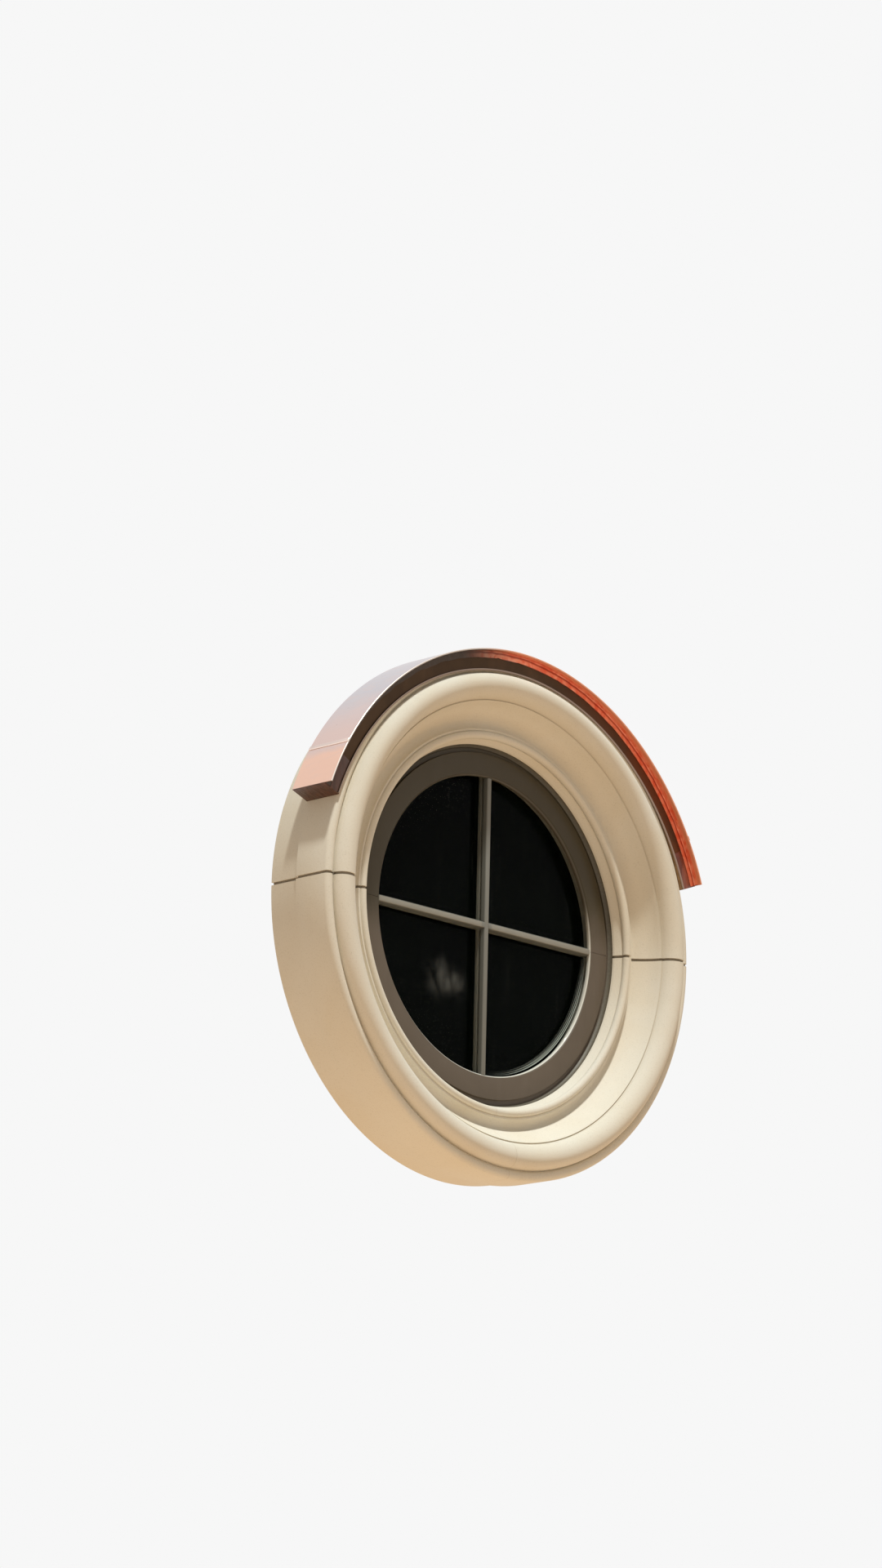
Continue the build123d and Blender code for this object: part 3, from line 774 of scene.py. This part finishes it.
class Workshop:
    """Turns finished meshes into pieces of the part and gives every node its finish."""

    def __init__(self) -> None:
        """Build each slot's material once."""
        self.materials = {slot: finish.material() for slot, finish in FINISHES.items()}
        self.done: set[str] = set()

    def piece(
        self,
        mesh: bmesh.types.BMesh,
        name: str,
        slot: Slot,
        replaces: Iterable[str] = (),
        smooth: float = 38.0,
    ) -> None:
        """Make an object of a mesh and fasten it to the frame.

        Args:
            mesh: the finished mesh, in metres; it is freed.
            name: the object's name.
            slot: the record's slot that its finish comes from.
            replaces: CAD nodes that it stands for.
            smooth: edges sharper than this many degrees stay sharp.
        """
        bmesh.ops.remove_doubles(mesh, verts=mesh.verts, dist=SLIVER)
        bmesh.ops.recalc_face_normals(mesh, faces=mesh.faces)
        data = bpy.data.meshes.new(name)
        mesh.to_mesh(data)
        mesh.free()
        data.shade_smooth()
        data.set_sharp_from_angle(angle=math.radians(smooth))
        data.materials.append(self.materials[slot])
        made = bpy.data.objects.new(name, data)
        bpy.context.scene.collection.objects.link(made)
        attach(made, ROOT)
        if replaces:
            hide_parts(*replaces)
        self.done.update(replaces)
        LOG.info("%s: %d faces", name, len(data.polygons))

    def dress(self) -> None:
        """Give every node that still shows its slot's material."""
        slots = {entry["node"]: Slot(entry["material_slot"]) for entry in frame["record"]["subparts"]}
        for name, node in frame["nodes"].items():
            if name in self.done:
                continue
            node.data.materials.clear()
            node.data.materials.append(self.materials[slots[name]])
            LOG.info("%s keeps its solid", name)


# Shaping


def on_circle(centre: Point, radius: float, angle: float) -> Point:
    """Point on a circle, at an angle in degrees."""
    turn = math.radians(angle)
    return centre[0] + radius * math.cos(turn), centre[1] + radius * math.sin(turn)


class Outline:
    """Wire in the plane of radius and depth, in millimetres, drawn by moving and spinning its tip."""

    def __init__(self, radius: float, depth: float) -> None:
        """Set the wire's first vertex.

        Args:
            radius: its distance from the axis.
            depth: its place along the axis.
        """
        self.mesh = bmesh.new()
        self.first = bmesh.ops.create_vert(self.mesh, co=self.spot((radius, depth)))["vert"][0]
        self.tip = self.first

    @staticmethod
    def spot(point: Point) -> Vector:
        """Place of a point in metres."""
        return Vector((point[0] * MM, point[1] * MM, 0.0))

    def line(self, *points: Point) -> "Outline":
        """Draw straight runs.

        Args:
            points: the end of each run.

        Returns:
            The outline.
        """
        for point in points:
            self.tip = bmesh.ops.extrude_vert_indiv(self.mesh, verts=[self.tip])["verts"][0]
            self.tip.co = self.spot(point)
        return self

    def arc(self, through: Point, end: Point, steps: int = 8) -> None:
        """Draw an arc.

        Args:
            through: a point that the arc passes.
            end: its last point.
            steps: runs in the arc.
        """
        a, b, c = self.tip.co.copy(), self.spot(through), self.spot(end)
        (ux, uy), (vx, vy) = (b - a).xy, (c - a).xy
        turn = 2 * (ux * vy - uy * vx)
        uu, vv = ux * ux + uy * uy, vx * vx + vy * vy
        centre = a + Vector(((vy * uu - uy * vv) / turn, (ux * vv - vx * uu) / turn, 0.0))
        start, stop = (math.atan2((p - centre).y, (p - centre).x) for p in (a, c))
        sweep = (stop - start) % math.tau
        if turn < 0:
            sweep -= math.tau
        path = {"cent": centre, "axis": (0, 0, 1), "angle": sweep, "steps": steps}
        spun = bmesh.ops.spin(self.mesh, geom=[self.tip], **path)
        self.tip = next(item for item in spun["geom_last"] if isinstance(item, bmesh.types.BMVert))

    def turned(self, start: float, end: float, steps: int, drop: float = 0.0) -> bmesh.types.BMesh:
        """Close the wire and turn it about an axis along Y.

        Args:
            start: first angle in degrees, from the right and upwards.
            end: last angle; a full turn past the first joins the ends.
            steps: slices round the arc.
            drop: how far the axis lies below the origin, in millimetres.

        Returns:
            A closed shell.
        """
        mesh = self.mesh
        bmesh.ops.contextual_create(mesh, geom=[self.tip, self.first])
        centre = Vector((0.0, 0.0, -drop * MM))
        first = Matrix.Translation(centre) @ Matrix.Rotation(math.radians(start), 4, AXIS)
        bmesh.ops.transform(mesh, matrix=first, verts=mesh.verts)
        full = math.isclose(end - start, FULL_TURN)
        whole = list(mesh.verts) + list(mesh.edges)
        path = {"cent": centre, "axis": AXIS, "angle": math.radians(end - start), "steps": steps}
        bmesh.ops.spin(mesh, geom=whole, use_merge=full, **path)
        bmesh.ops.remove_doubles(mesh, verts=mesh.verts, dist=WELD)
        if not full:
            bmesh.ops.holes_fill(mesh, edges=[edge for edge in mesh.edges if edge.is_boundary])
        bmesh.ops.recalc_face_normals(mesh, faces=mesh.faces)
        return mesh


def round_off(
    mesh: bmesh.types.BMesh, edges: Iterable[bmesh.types.BMEdge], width: float, segments: int
) -> bmesh.types.BMesh:
    """Bevel edges.

    Args:
        mesh: the mesh.
        edges: its edges to round.
        width: bevel width in millimetres.
        segments: steps across the bevel.

    Returns:
        The same mesh.
    """
    settings = {"affect": "EDGES", "profile": 0.5, "material": -1, "clamp_overlap": True}
    bmesh.ops.bevel(mesh, geom=list(edges), offset=width * MM, segments=segments, **settings)
    return mesh


def ease(mesh: bmesh.types.BMesh, width: float, angle: float = 32.0, segments: int = 2) -> bmesh.types.BMesh:
    """Round every edge sharper than an angle.

    Args:
        mesh: the mesh.
        width: bevel width in millimetres.
        angle: in degrees.
        segments: steps across the bevel.

    Returns:
        The same mesh.
    """
    sharp = [edge for edge in mesh.edges if edge.calc_face_angle(0.0) > math.radians(angle)]
    return round_off(mesh, sharp, width, segments)


def half_of(mesh: bmesh.types.BMesh, side: int, gap: float) -> bmesh.types.BMesh:
    """Keep the part of a ring above or below a gap at its middle, with its cut ends closed.

    Args:
        mesh: the whole ring; it is left as it is.
        side: 1 for the upper part, -1 for the lower.
        gap: in millimetres, shared by the two parts.

    Returns:
        A new mesh.
    """
    part = mesh.copy()
    geom = list(part.verts) + list(part.edges) + list(part.faces)
    plane = {"plane_co": (0.0, 0.0, side * gap / 2 * MM), "plane_no": (0.0, 0.0, float(side))}
    cut = bmesh.ops.bisect_plane(part, geom=geom, dist=CUT, clear_inner=True, **plane)["geom_cut"]
    bmesh.ops.holes_fill(part, edges=[item for item in cut if isinstance(item, bmesh.types.BMEdge)])
    bmesh.ops.recalc_face_normals(part, faces=part.faces)
    return part


def eased_copy(node: str, width: float, flat: float = 1.0, sharp: float = 25.0) -> bmesh.types.BMesh:
    """Copy a flat faced node, merge its facets and round its edges.

    Args:
        node: name of the CAD node.
        width: bevel width in millimetres.
        flat: facets that differ by less than this many degrees are one face.
        sharp: edges sharper than this many degrees are rounded.

    Returns:
        A new mesh.
    """
    mesh = bmesh.new()
    mesh.from_mesh(frame["nodes"][node].data)
    bmesh.ops.remove_doubles(mesh, verts=mesh.verts, dist=WELD)
    bmesh.ops.dissolve_limit(mesh, angle_limit=math.radians(flat), verts=mesh.verts, edges=mesh.edges)
    return ease(mesh, width, sharp)


# Sub-assemblies


@dataclass
class StoneSurround:
    """Moulded ring in two castings: lip, fillet, bead, ledge, cove, splay, quirk, roll, torus and drum."""

    shop: Workshop
    face: float = -16.0
    tail: float = 94.0
    bore: float = 452.0
    fillet: float = 462.0
    bead: float = 480.0
    ledge: float = 486.0
    cove: float = 504.0
    splay: float = 548.0
    quirk: float = 552.0
    crest: float = 588.0
    roll: float = 616.0
    torus: float = 619.0
    drum: float = 643.0
    seat: float = 633.0
    stands: tuple[float, ...] = (10.0, 28.0, 45.0, 36.0, 21.0, 85.0, 82.0, 115.0, 87.0, 81.0, 91.0)
    lip_ease: Point = (0.8, 0.6)
    fillet_step: Point = (1.0, 0.6)
    bead_radius: float = 9.0
    bead_sink: float = 1.0
    bead_end: Point = (1.2, 4.0)
    groove_width: float = 1.2
    groove_depth: float = 2.2
    groove_lip: float = 0.5
    cove_bow: Point = (12.73, 3.1)
    splay_bow: Point = (4.1, 2.8)
    roll_bow: Point = (23.4, 8.5)
    shoulder: float = 28.0
    back_quirk: float = 3.5
    joint: float = 7.0
    steps: int = 240
    arris: float = 2.6
    softness: float = 0.7

    def outline(self) -> Outline:
        """Draw the section from the back of the bore, round the mouldings to the tail.

        Returns:
            The open wire.
        """
        depths = (self.face - stand for stand in self.stands)
        lip, fillet, bead, ledge, cove, splay, quirk, crest, side, drum, torus = depths
        wire = Outline(self.bore, self.tail).line((self.bore, lip + self.lip_ease[0]))
        wire.line((self.bore + self.lip_ease[0], lip - self.lip_ease[1]), (self.fillet, fillet))
        wire.line((self.fillet + self.fillet_step[0], fillet + self.fillet_step[1]))
        centre = (self.bead - self.bead_radius, ledge - self.bead_sink)
        swell = on_circle(centre, self.bead_radius, -135.0)
        wire.arc(swell, (self.bead - self.bead_end[0], bead + self.bead_end[1]), steps=10)
        floor = ledge - self.groove_depth
        wire.line((self.bead - self.groove_width / 2, ledge + self.groove_lip))
        wire.line((self.bead + self.groove_width, floor), (self.ledge, floor))
        hollow = (self.cove - self.cove_bow[0], (ledge + cove) / 2 + self.cove_bow[1])
        wire.arc(hollow, (self.cove, cove))
        middle = ((self.cove + self.splay) / 2, (cove + splay) / 2)
        wire.arc((middle[0] + self.splay_bow[0], middle[1] + self.splay_bow[1]), (self.splay, splay))
        wire.line(((self.splay + self.quirk) / 2, quirk), (self.quirk, splay))
        rise = (self.crest - self.roll_bow[0], crest + self.roll_bow[1])
        wire.arc(rise, (self.crest, crest), steps=10)
        wire.arc(on_circle((self.crest, side), self.shoulder, -45.0), (self.roll, side), steps=10)
        wire.line((self.roll, drum), (self.torus, drum), (self.torus, drum - self.back_quirk))
        wire.arc(((self.torus + self.drum) / 2, torus), (self.drum, drum), steps=12)
        return wire.line((self.drum, 0.0), (self.seat, 0.0), (self.seat, self.tail))

    def build(self) -> None:
        """Turn the section, cut it into two castings and round their arrises."""
        ring = ease(self.outline().turned(0.0, FULL_TURN, self.steps), self.softness, angle=50.0)
        for name, side in (("surround_upper", 1), ("surround_lower", -1)):
            casting = half_of(ring, side, self.joint)
            level = side * self.joint / 2 * MM
            ends = [
                face for face in casting.faces if all(abs(vert.co.z - level) < WELD for vert in face.verts)
            ]
            rims = {edge for face in ends for edge in face.edges}
            round_off(casting, rims, self.arris, 3)
            self.shop.piece(casting, f"stone_{name}", Slot.STONE, [name], smooth=50.0)
        ring.free()


@dataclass
class WindowFrame:
    """Brown metal facing in two halves, the weather bead round it, and the timber beads inside."""

    shop: Workshop
    face: float = -16.0
    sight: float = 375.0
    bevel: float = 5.0
    outer: float = 434.0
    flange: float = 446.0
    stone: float = 452.0
    lip_back: float = -4.0
    sheet: float = 2.0
    setback: float = 8.0
    outer_fold: float = 1.5
    inner_fold: float = 0.8
    fold_bow: float = 0.3
    back_bevel: float = 6.0
    upstand: float = 1.7
    softness: float = 0.35
    joint: float = 0.8
    stop: float = 382.0
    rebate: float = 403.8
    back: float = 70.0
    stop_front: float = 25.0
    stop_round: float = 9.0
    stop_joint: float = 0.5
    stop_softness: float = 0.6
    seal_set: float = 6.5
    seal_depth: float = 9.0
    seal_play: Point = (0.2, 0.1)
    seal_belly: Point = (3.6, 0.36)
    tooled: float = 11.0
    steps: int = 240

    def facing(self) -> bmesh.types.BMesh:
        """Turn the facing: sight lip, bevel, face, return, and flange with its small upstand.

        Returns:
            The whole ring.
        """
        face, sight, outer, flange = self.face, self.sight, self.outer, self.flange
        fold, bend, seat = self.outer_fold, self.inner_fold, face + self.setback
        bow, top = bend * self.fold_bow, seat - self.upstand
        wire = Outline(sight, self.lip_back).line((sight, face + self.bevel), (sight + self.bevel, face))
        wire.line((outer - fold, face))
        wire.arc(on_circle((outer - fold, face + fold), fold, -45.0), (outer, face + fold), steps=4)
        wire.line((outer, seat - bend)).arc((outer + bow, seat - bow), (outer + bend, seat), steps=3)
        wire.line((flange - self.sheet, seat), (flange - self.sheet, top))
        wire.arc((flange - self.sheet / 2, top - bend), (flange, top), steps=5)
        wire.line((flange, seat + self.sheet), (outer - self.sheet, seat + self.sheet))
        wire.line((outer - self.sheet, face + self.sheet), (sight + self.back_bevel, face + self.sheet))
        wire.line((sight + self.sheet, face + self.back_bevel), (sight + self.sheet, self.lip_back))
        return ease(wire.turned(0.0, FULL_TURN, self.steps), self.softness, angle=30.0)

    def weather_bead(self) -> bmesh.types.BMesh:
        """Turn the sealant, tooled hollow from the flange up the stone's lip.

        Returns:
            The whole ring.
        """
        inner, outer = self.flange + self.seal_play[0], self.stone - self.seal_play[1]
        front = self.face + self.seal_set
        back = front + self.seal_depth
        wire = Outline(inner, front).line((inner, back), (outer, back), (outer, front - self.tooled))
        belly = (inner + self.seal_belly[0], front - self.tooled * self.seal_belly[1])
        wire.arc(belly, (inner + CLOSE, front), steps=6)
        return wire.turned(0.0, FULL_TURN, self.steps)

    def room_bead(self) -> bmesh.types.BMesh:
        """Turn the timber bead, rounded towards the glass.

        Returns:
            The whole ring.
        """
        front, back = self.stop_front, self.back
        centre = (self.stop + self.stop_round, back - self.stop_round)
        wire = Outline(self.stop, front).line((self.rebate, front), (self.rebate, back), (centre[0], back))
        wire.arc(on_circle(centre, self.stop_round, 135.0), (self.stop, centre[1]))
        return wire.turned(0.0, FULL_TURN, self.steps)

    def build(self) -> None:
        """Make the rings and part them at their joints."""
        facing, bead = self.facing(), self.room_bead()
        for word, side in (("upper", 1), ("lower", -1)):
            half = half_of(facing, side, self.joint)
            self.shop.piece(half, f"facing_{word}", Slot.FACING, [f"cladding_{word}"])
            room = ease(half_of(bead, side, self.stop_joint), self.stop_softness, angle=50.0)
            self.shop.piece(room, f"room_bead_{word}", Slot.INSIDE_TIMBER, [f"interior_stop_{word}"])
        facing.free()
        bead.free()
        self.shop.piece(self.weather_bead(), "weather_bead", Slot.SEALANT, ["perimeter_sealant"])


@dataclass
class GlazingBars:
    """Crossed bars outside, between and inside the panes, with softened edges."""

    shop: Workshop
    softness: float = 0.7

    def build(self) -> None:
        """Round the edges of each bar."""
        for layer, slot in (("outer", Slot.BAR), ("core", Slot.SPACER), ("inner", Slot.INSIDE_TIMBER)):
            for place in ("vertical", "left", "right"):
                node = f"muntin_{layer}_{place}"
                bar = eased_copy(node, self.softness)
                self.shop.piece(bar, f"bar_{layer}_{place}", slot, [node], smooth=30.0)


@dataclass
class CopperHood:
    """Sheets with a rolled hem, edge strip, hemmed fascia and wrapped ends, about the hood's lower axis."""

    shop: Workshop
    drop: float = 36.0
    radius: float = 708.2
    copper: float = 1.2
    start: float = 20.5
    side_span: float = 9.5
    joint_span: float = 0.04
    rim: float = -134.0
    fascia_front: float = -109.2
    fascia_inner: float = 656.0
    hem: float = 5.0
    hem_fold: float = 3.2
    edge_leg: float = 18.0
    hem_leg: float = 10.0
    fold: float = 1.5
    underlay: float = 1.0
    strip_gap: float = 1.4
    play: float = 0.15
    welt: float = 12.0
    welt_rise: float = 2.0
    welt_root: float = 0.4
    welt_setback: float = 1.0
    welt_round: Point = (0.6, 0.7)
    welt_softness: float = 1.2
    cap_softness: float = 0.4
    sway: float = 3.0
    long_wave: float = 24.0
    short_wave: float = 70.0
    calm_height: float = 0.5
    calm_rate: float = 5.0
    slice_angle: float = 1.0

    def band(self, wire: Outline, start: float, end: float) -> bmesh.types.BMesh:
        """Turn a section about the hood's axis."""
        return wire.turned(start, end, max(2, round((end - start) / self.slice_angle)), self.drop)

    def sheet(self, start: float, end: float) -> bmesh.types.BMesh:
        """Turn one sheet, with its hem rolled round the edge strip.

        Args:
            start: its first angle in degrees, from the right and upwards.
            end: its last angle.

        Returns:
            The sheet.
        """
        inner = self.radius - self.copper
        hem_out = inner - 2 * self.play - self.copper
        hem_in = hem_out - self.copper
        outer_bend, inner_bend = (self.radius - hem_in) / 2, (inner - hem_out) / 2
        middle, front = (self.radius + hem_in) / 2, self.rim + outer_bend
        wire = Outline(inner, 0.0).line((self.radius, 0.0), (self.radius, front))
        wire.arc((middle, self.rim), (hem_in, front))
        wire.line((hem_in, front + self.hem_leg), (hem_out, front + self.hem_leg), (hem_out, front))
        wire.arc((middle, front - inner_bend), (inner, front), steps=6)
        return self.band(wire, start, end)

    def edge_strip(self) -> bmesh.types.BMesh:
        """Turn the angle that stands on the fascia and carries the hem.

        Returns:
            The strip, with a straight free edge.
        """
        outer = self.radius - self.copper - self.play
        inner, foot = outer - self.copper, outer - self.edge_leg
        back, tip = self.fascia_front, self.rim + self.copper + self.strip_gap
        front = back - self.copper
        centre = (inner - self.fold, front - self.fold)
        wire = Outline(outer, back).line((foot, back), (foot, front), (centre[0], front))
        wire.arc(on_circle(centre, self.fold, 45.0), (inner, centre[1]), steps=4)
        return self.band(wire.line((inner, tip), (outer, tip)), self.start, HALF_TURN - self.start)

    def wavy(self, mesh: bmesh.types.BMesh) -> bmesh.types.BMesh:
        """Let the strip's free edge on the fascia wander, as a folded edge does.

        Args:
            mesh: the edge strip.

        Returns:
            The same mesh.
        """
        free_edge = self.radius - self.copper - self.play - self.edge_leg
        edge = (free_edge + self.copper) * MM
        for vert in mesh.verts:
            arm = vert.co + Vector((0.0, -vert.co.y, self.drop * MM))
            if arm.length > edge:
                continue
            fade = min(1.0, max(0.0, (arm.normalized().z - self.calm_height) * self.calm_rate))
            sway = noise.noise(arm * self.long_wave) * self.sway
            sway += noise.noise(arm * self.short_wave) * self.sway / 2
            vert.co += arm.normalized() * sway * fade * MM
        return mesh

    def fascia(self) -> bmesh.types.BMesh:
        """Turn the fascia's facing, with its inner edge rolled forwards.

        Returns:
            The facing.
        """
        inner, front, back = self.fascia_inner, self.fascia_front, self.fascia_front + self.copper
        outer = self.radius - self.copper - self.underlay
        hem, rolled = inner + self.hem, front - self.hem_fold
        centre = inner + (self.hem_fold + self.copper) / 2
        wire = Outline(centre, back).line((outer, back), (outer, front), (hem, front))
        wire.line((hem, rolled), (centre, rolled)).arc((inner, (back + rolled) / 2), (centre + CLOSE, back))
        return self.band(wire, self.start, HALF_TURN - self.start)

    def raised_welt(self, start: float) -> bmesh.types.BMesh:
        """Turn the folded joint that stands on the crown sheet's edge.

        Args:
            start: its first angle in degrees.

        Returns:
            The welt, its root sunk a little into the sheet.
        """
        top, root = self.radius + self.welt_rise, self.radius - self.welt_root
        span = math.degrees(self.welt / self.radius)
        front = self.rim + self.welt_setback
        nose = front - self.welt_round[1]
        wire = Outline(root, 0.0).line((top, 0.0), (top, front))
        wire.arc((top - self.welt_round[0], nose), (root, nose), steps=4)
        return ease(self.band(wire, start, start + span), self.welt_softness, angle=50.0, segments=3)

    def build(self) -> None:
        """Make the hood's copper pieces."""
        right_end, left_end = self.start, HALF_TURN - self.start
        right_seam, left_seam = right_end + self.side_span, left_end - self.side_span
        span = math.degrees(self.welt / self.radius)
        sheets = {
            "crown_sheet": (right_seam, left_seam),
            "side_sheet_right": (right_end, right_seam - self.joint_span),
            "side_sheet_left": (left_seam + self.joint_span, left_end),
        }
        for name, angles in sheets.items():
            self.shop.piece(self.sheet(*angles), name, Slot.SHEET_COPPER, [f"hood_{name}"])
        for word, low in (("right", right_seam), ("left", left_seam - span)):
            self.shop.piece(self.raised_welt(low), f"welt_{word}", Slot.SHEET_COPPER)
        strip = self.wavy(self.edge_strip())
        self.shop.piece(strip, "edge_strip", Slot.TRIM_COPPER, ["hood_edge_strip"])
        self.shop.piece(self.fascia(), "fascia", Slot.FASCIA_COPPER, ["hood_fascia"])
        for word in ("left", "right"):
            node = f"hood_end_cap_{word}"
            cap = eased_copy(node, self.cap_softness)
            self.shop.piece(cap, f"end_cap_{word}", Slot.TRIM_COPPER, [node], smooth=30.0)


# Setting: floor, light and camera


@dataclass
class Studio:
    """Pale floor far below that throws up warm light, a soft high lamp and a pale surround."""

    floor_level: float = -4.3
    floor_size: float = 60.0
    floor_light: Rgb = (0.80, 0.565, 0.375)
    floor_shown: Rgb = (0.80, 0.775, 0.785)
    lamp_colour: Rgb = (0.96, 0.985, 0.95)
    lamp_strength: float = 2.95
    lamp_angle: float = 4.0
    lamp_travel: tuple[float, float, float] = (0.175, 0.305, -0.935)
    fill: Rgb = (0.97, 0.99, 1.0)
    fill_strength: float = 0.29
    backdrop: Rgb = (0.93, 0.93, 0.93)

    def floor(self) -> None:
        """Lay the floor."""
        mesh = bmesh.new()
        bmesh.ops.create_grid(mesh, x_segments=8, y_segments=8, size=self.floor_size / 2)
        bmesh.ops.translate(mesh, verts=mesh.verts, vec=(0.0, 0.0, self.floor_level))
        data = bpy.data.meshes.new("floor")
        mesh.to_mesh(data)
        mesh.free()
        paint = Paint("floor_paint", Roughness=0.9, Specular_IOR_Level=0.2)
        paint.colour(paint.mix(paint.seen(), self.floor_light, self.floor_shown))
        data.materials.append(paint.material)
        floor = bpy.data.objects.new("floor", data)
        bpy.context.scene.collection.objects.link(floor)

    def lamp(self) -> None:
        """Hang the soft key lamp."""
        light = bpy.data.lights.new("key", "SUN")
        light.energy = self.lamp_strength
        light.angle = math.radians(self.lamp_angle)
        light.color = self.lamp_colour
        lamp = bpy.data.objects.new("key", light)
        lamp.rotation_euler = Vector(self.lamp_travel).to_track_quat("-Z", "Y").to_euler()
        bpy.context.scene.collection.objects.link(lamp)

    def surround(self) -> None:
        """Light the scene evenly, and show white behind it and in its reflections."""
        world = bpy.data.worlds.new("surround")
        tree = Tree(world)
        fill = tree.pick(tree.node("ShaderNodeBackground", None, {0: self.fill, 1: self.fill_strength}))
        shown = tree.pick(tree.node("ShaderNodeBackground", None, {0: self.backdrop, 1: 1.0}))
        mixed = tree.pick(tree.node("ShaderNodeMixShader", None, {0: tree.seen(), 1: fill, 2: shown}))
        tree.node("ShaderNodeOutputWorld", None, {0: mixed})
        bpy.context.scene.world = world

    def build(self) -> None:
        """Set the whole scene."""
        self.floor()
        self.lamp()
        self.surround()
        bpy.context.scene.view_settings.view_transform = "Standard"


@dataclass
class Viewpoint:
    """Camera below, left of and in front of the window, looking up at it."""

    azimuth: float = 46.01
    elevation: float = 13.26
    roll: float = 1.23
    distance: float = 12.075
    target: tuple[float, float, float] = (0.0, -0.016, 0.0)
    seen_at: Point = (597.1, 1132.9)
    focal_pixels: float = 6000.0
    width: float = 1080.0
    height: float = 1920.0
    sensor: float = 36.0
    sight_limit: float = 200.0

    def build(self) -> None:
        """Place the camera so that the target lands on its pixel."""
        az, el = math.radians(self.azimuth), math.radians(self.elevation)
        sight = Vector((math.sin(az) * math.cos(el), math.cos(az) * math.cos(el), math.sin(el)))
        right = Vector((math.cos(az), -math.sin(az), 0.0))
        up = right.cross(sight)
        base = Matrix((right, -up, sight))
        across = (self.seen_at[0] - self.width / 2) / self.focal_pixels
        down = (self.seen_at[1] - self.height / 2) / self.focal_pixels
        ray = Vector((across, down, 1.0)).normalized()
        turn = Vector((0.0, 0.0, 1.0)).rotation_difference(ray).to_matrix()
        tilt = Matrix.Rotation(math.radians(self.roll), 3, ray)
        rows = tilt @ turn @ base
        pose = Matrix((rows[0], -rows[1], -rows[2])).transposed().to_4x4()
        pose.translation = Vector(self.target) - sight * self.distance
        data = bpy.data.cameras.new("view")
        data.sensor_width = self.sensor
        data.sensor_fit = "AUTO"
        data.lens = self.focal_pixels * self.sensor / self.height
        data.clip_end = self.sight_limit
        camera = bpy.data.objects.new("view", data)
        camera.matrix_world = pose
        bpy.context.scene.collection.objects.link(camera)
        bpy.context.scene.camera = camera


def main() -> None:
    """Build the sub-assemblies in order and report them."""
    logging.basicConfig(level=logging.INFO, format="%(name)s: %(message)s")
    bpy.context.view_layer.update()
    Studio().build()
    Viewpoint().build()
    shop = Workshop()
    for assembly in (StoneSurround(shop), WindowFrame(shop), GlazingBars(shop), CopperHood(shop)):
        LOG.info("building %s", type(assembly).__name__)
        assembly.build()
    shop.dress()


if __name__ == "__main__":
    main()
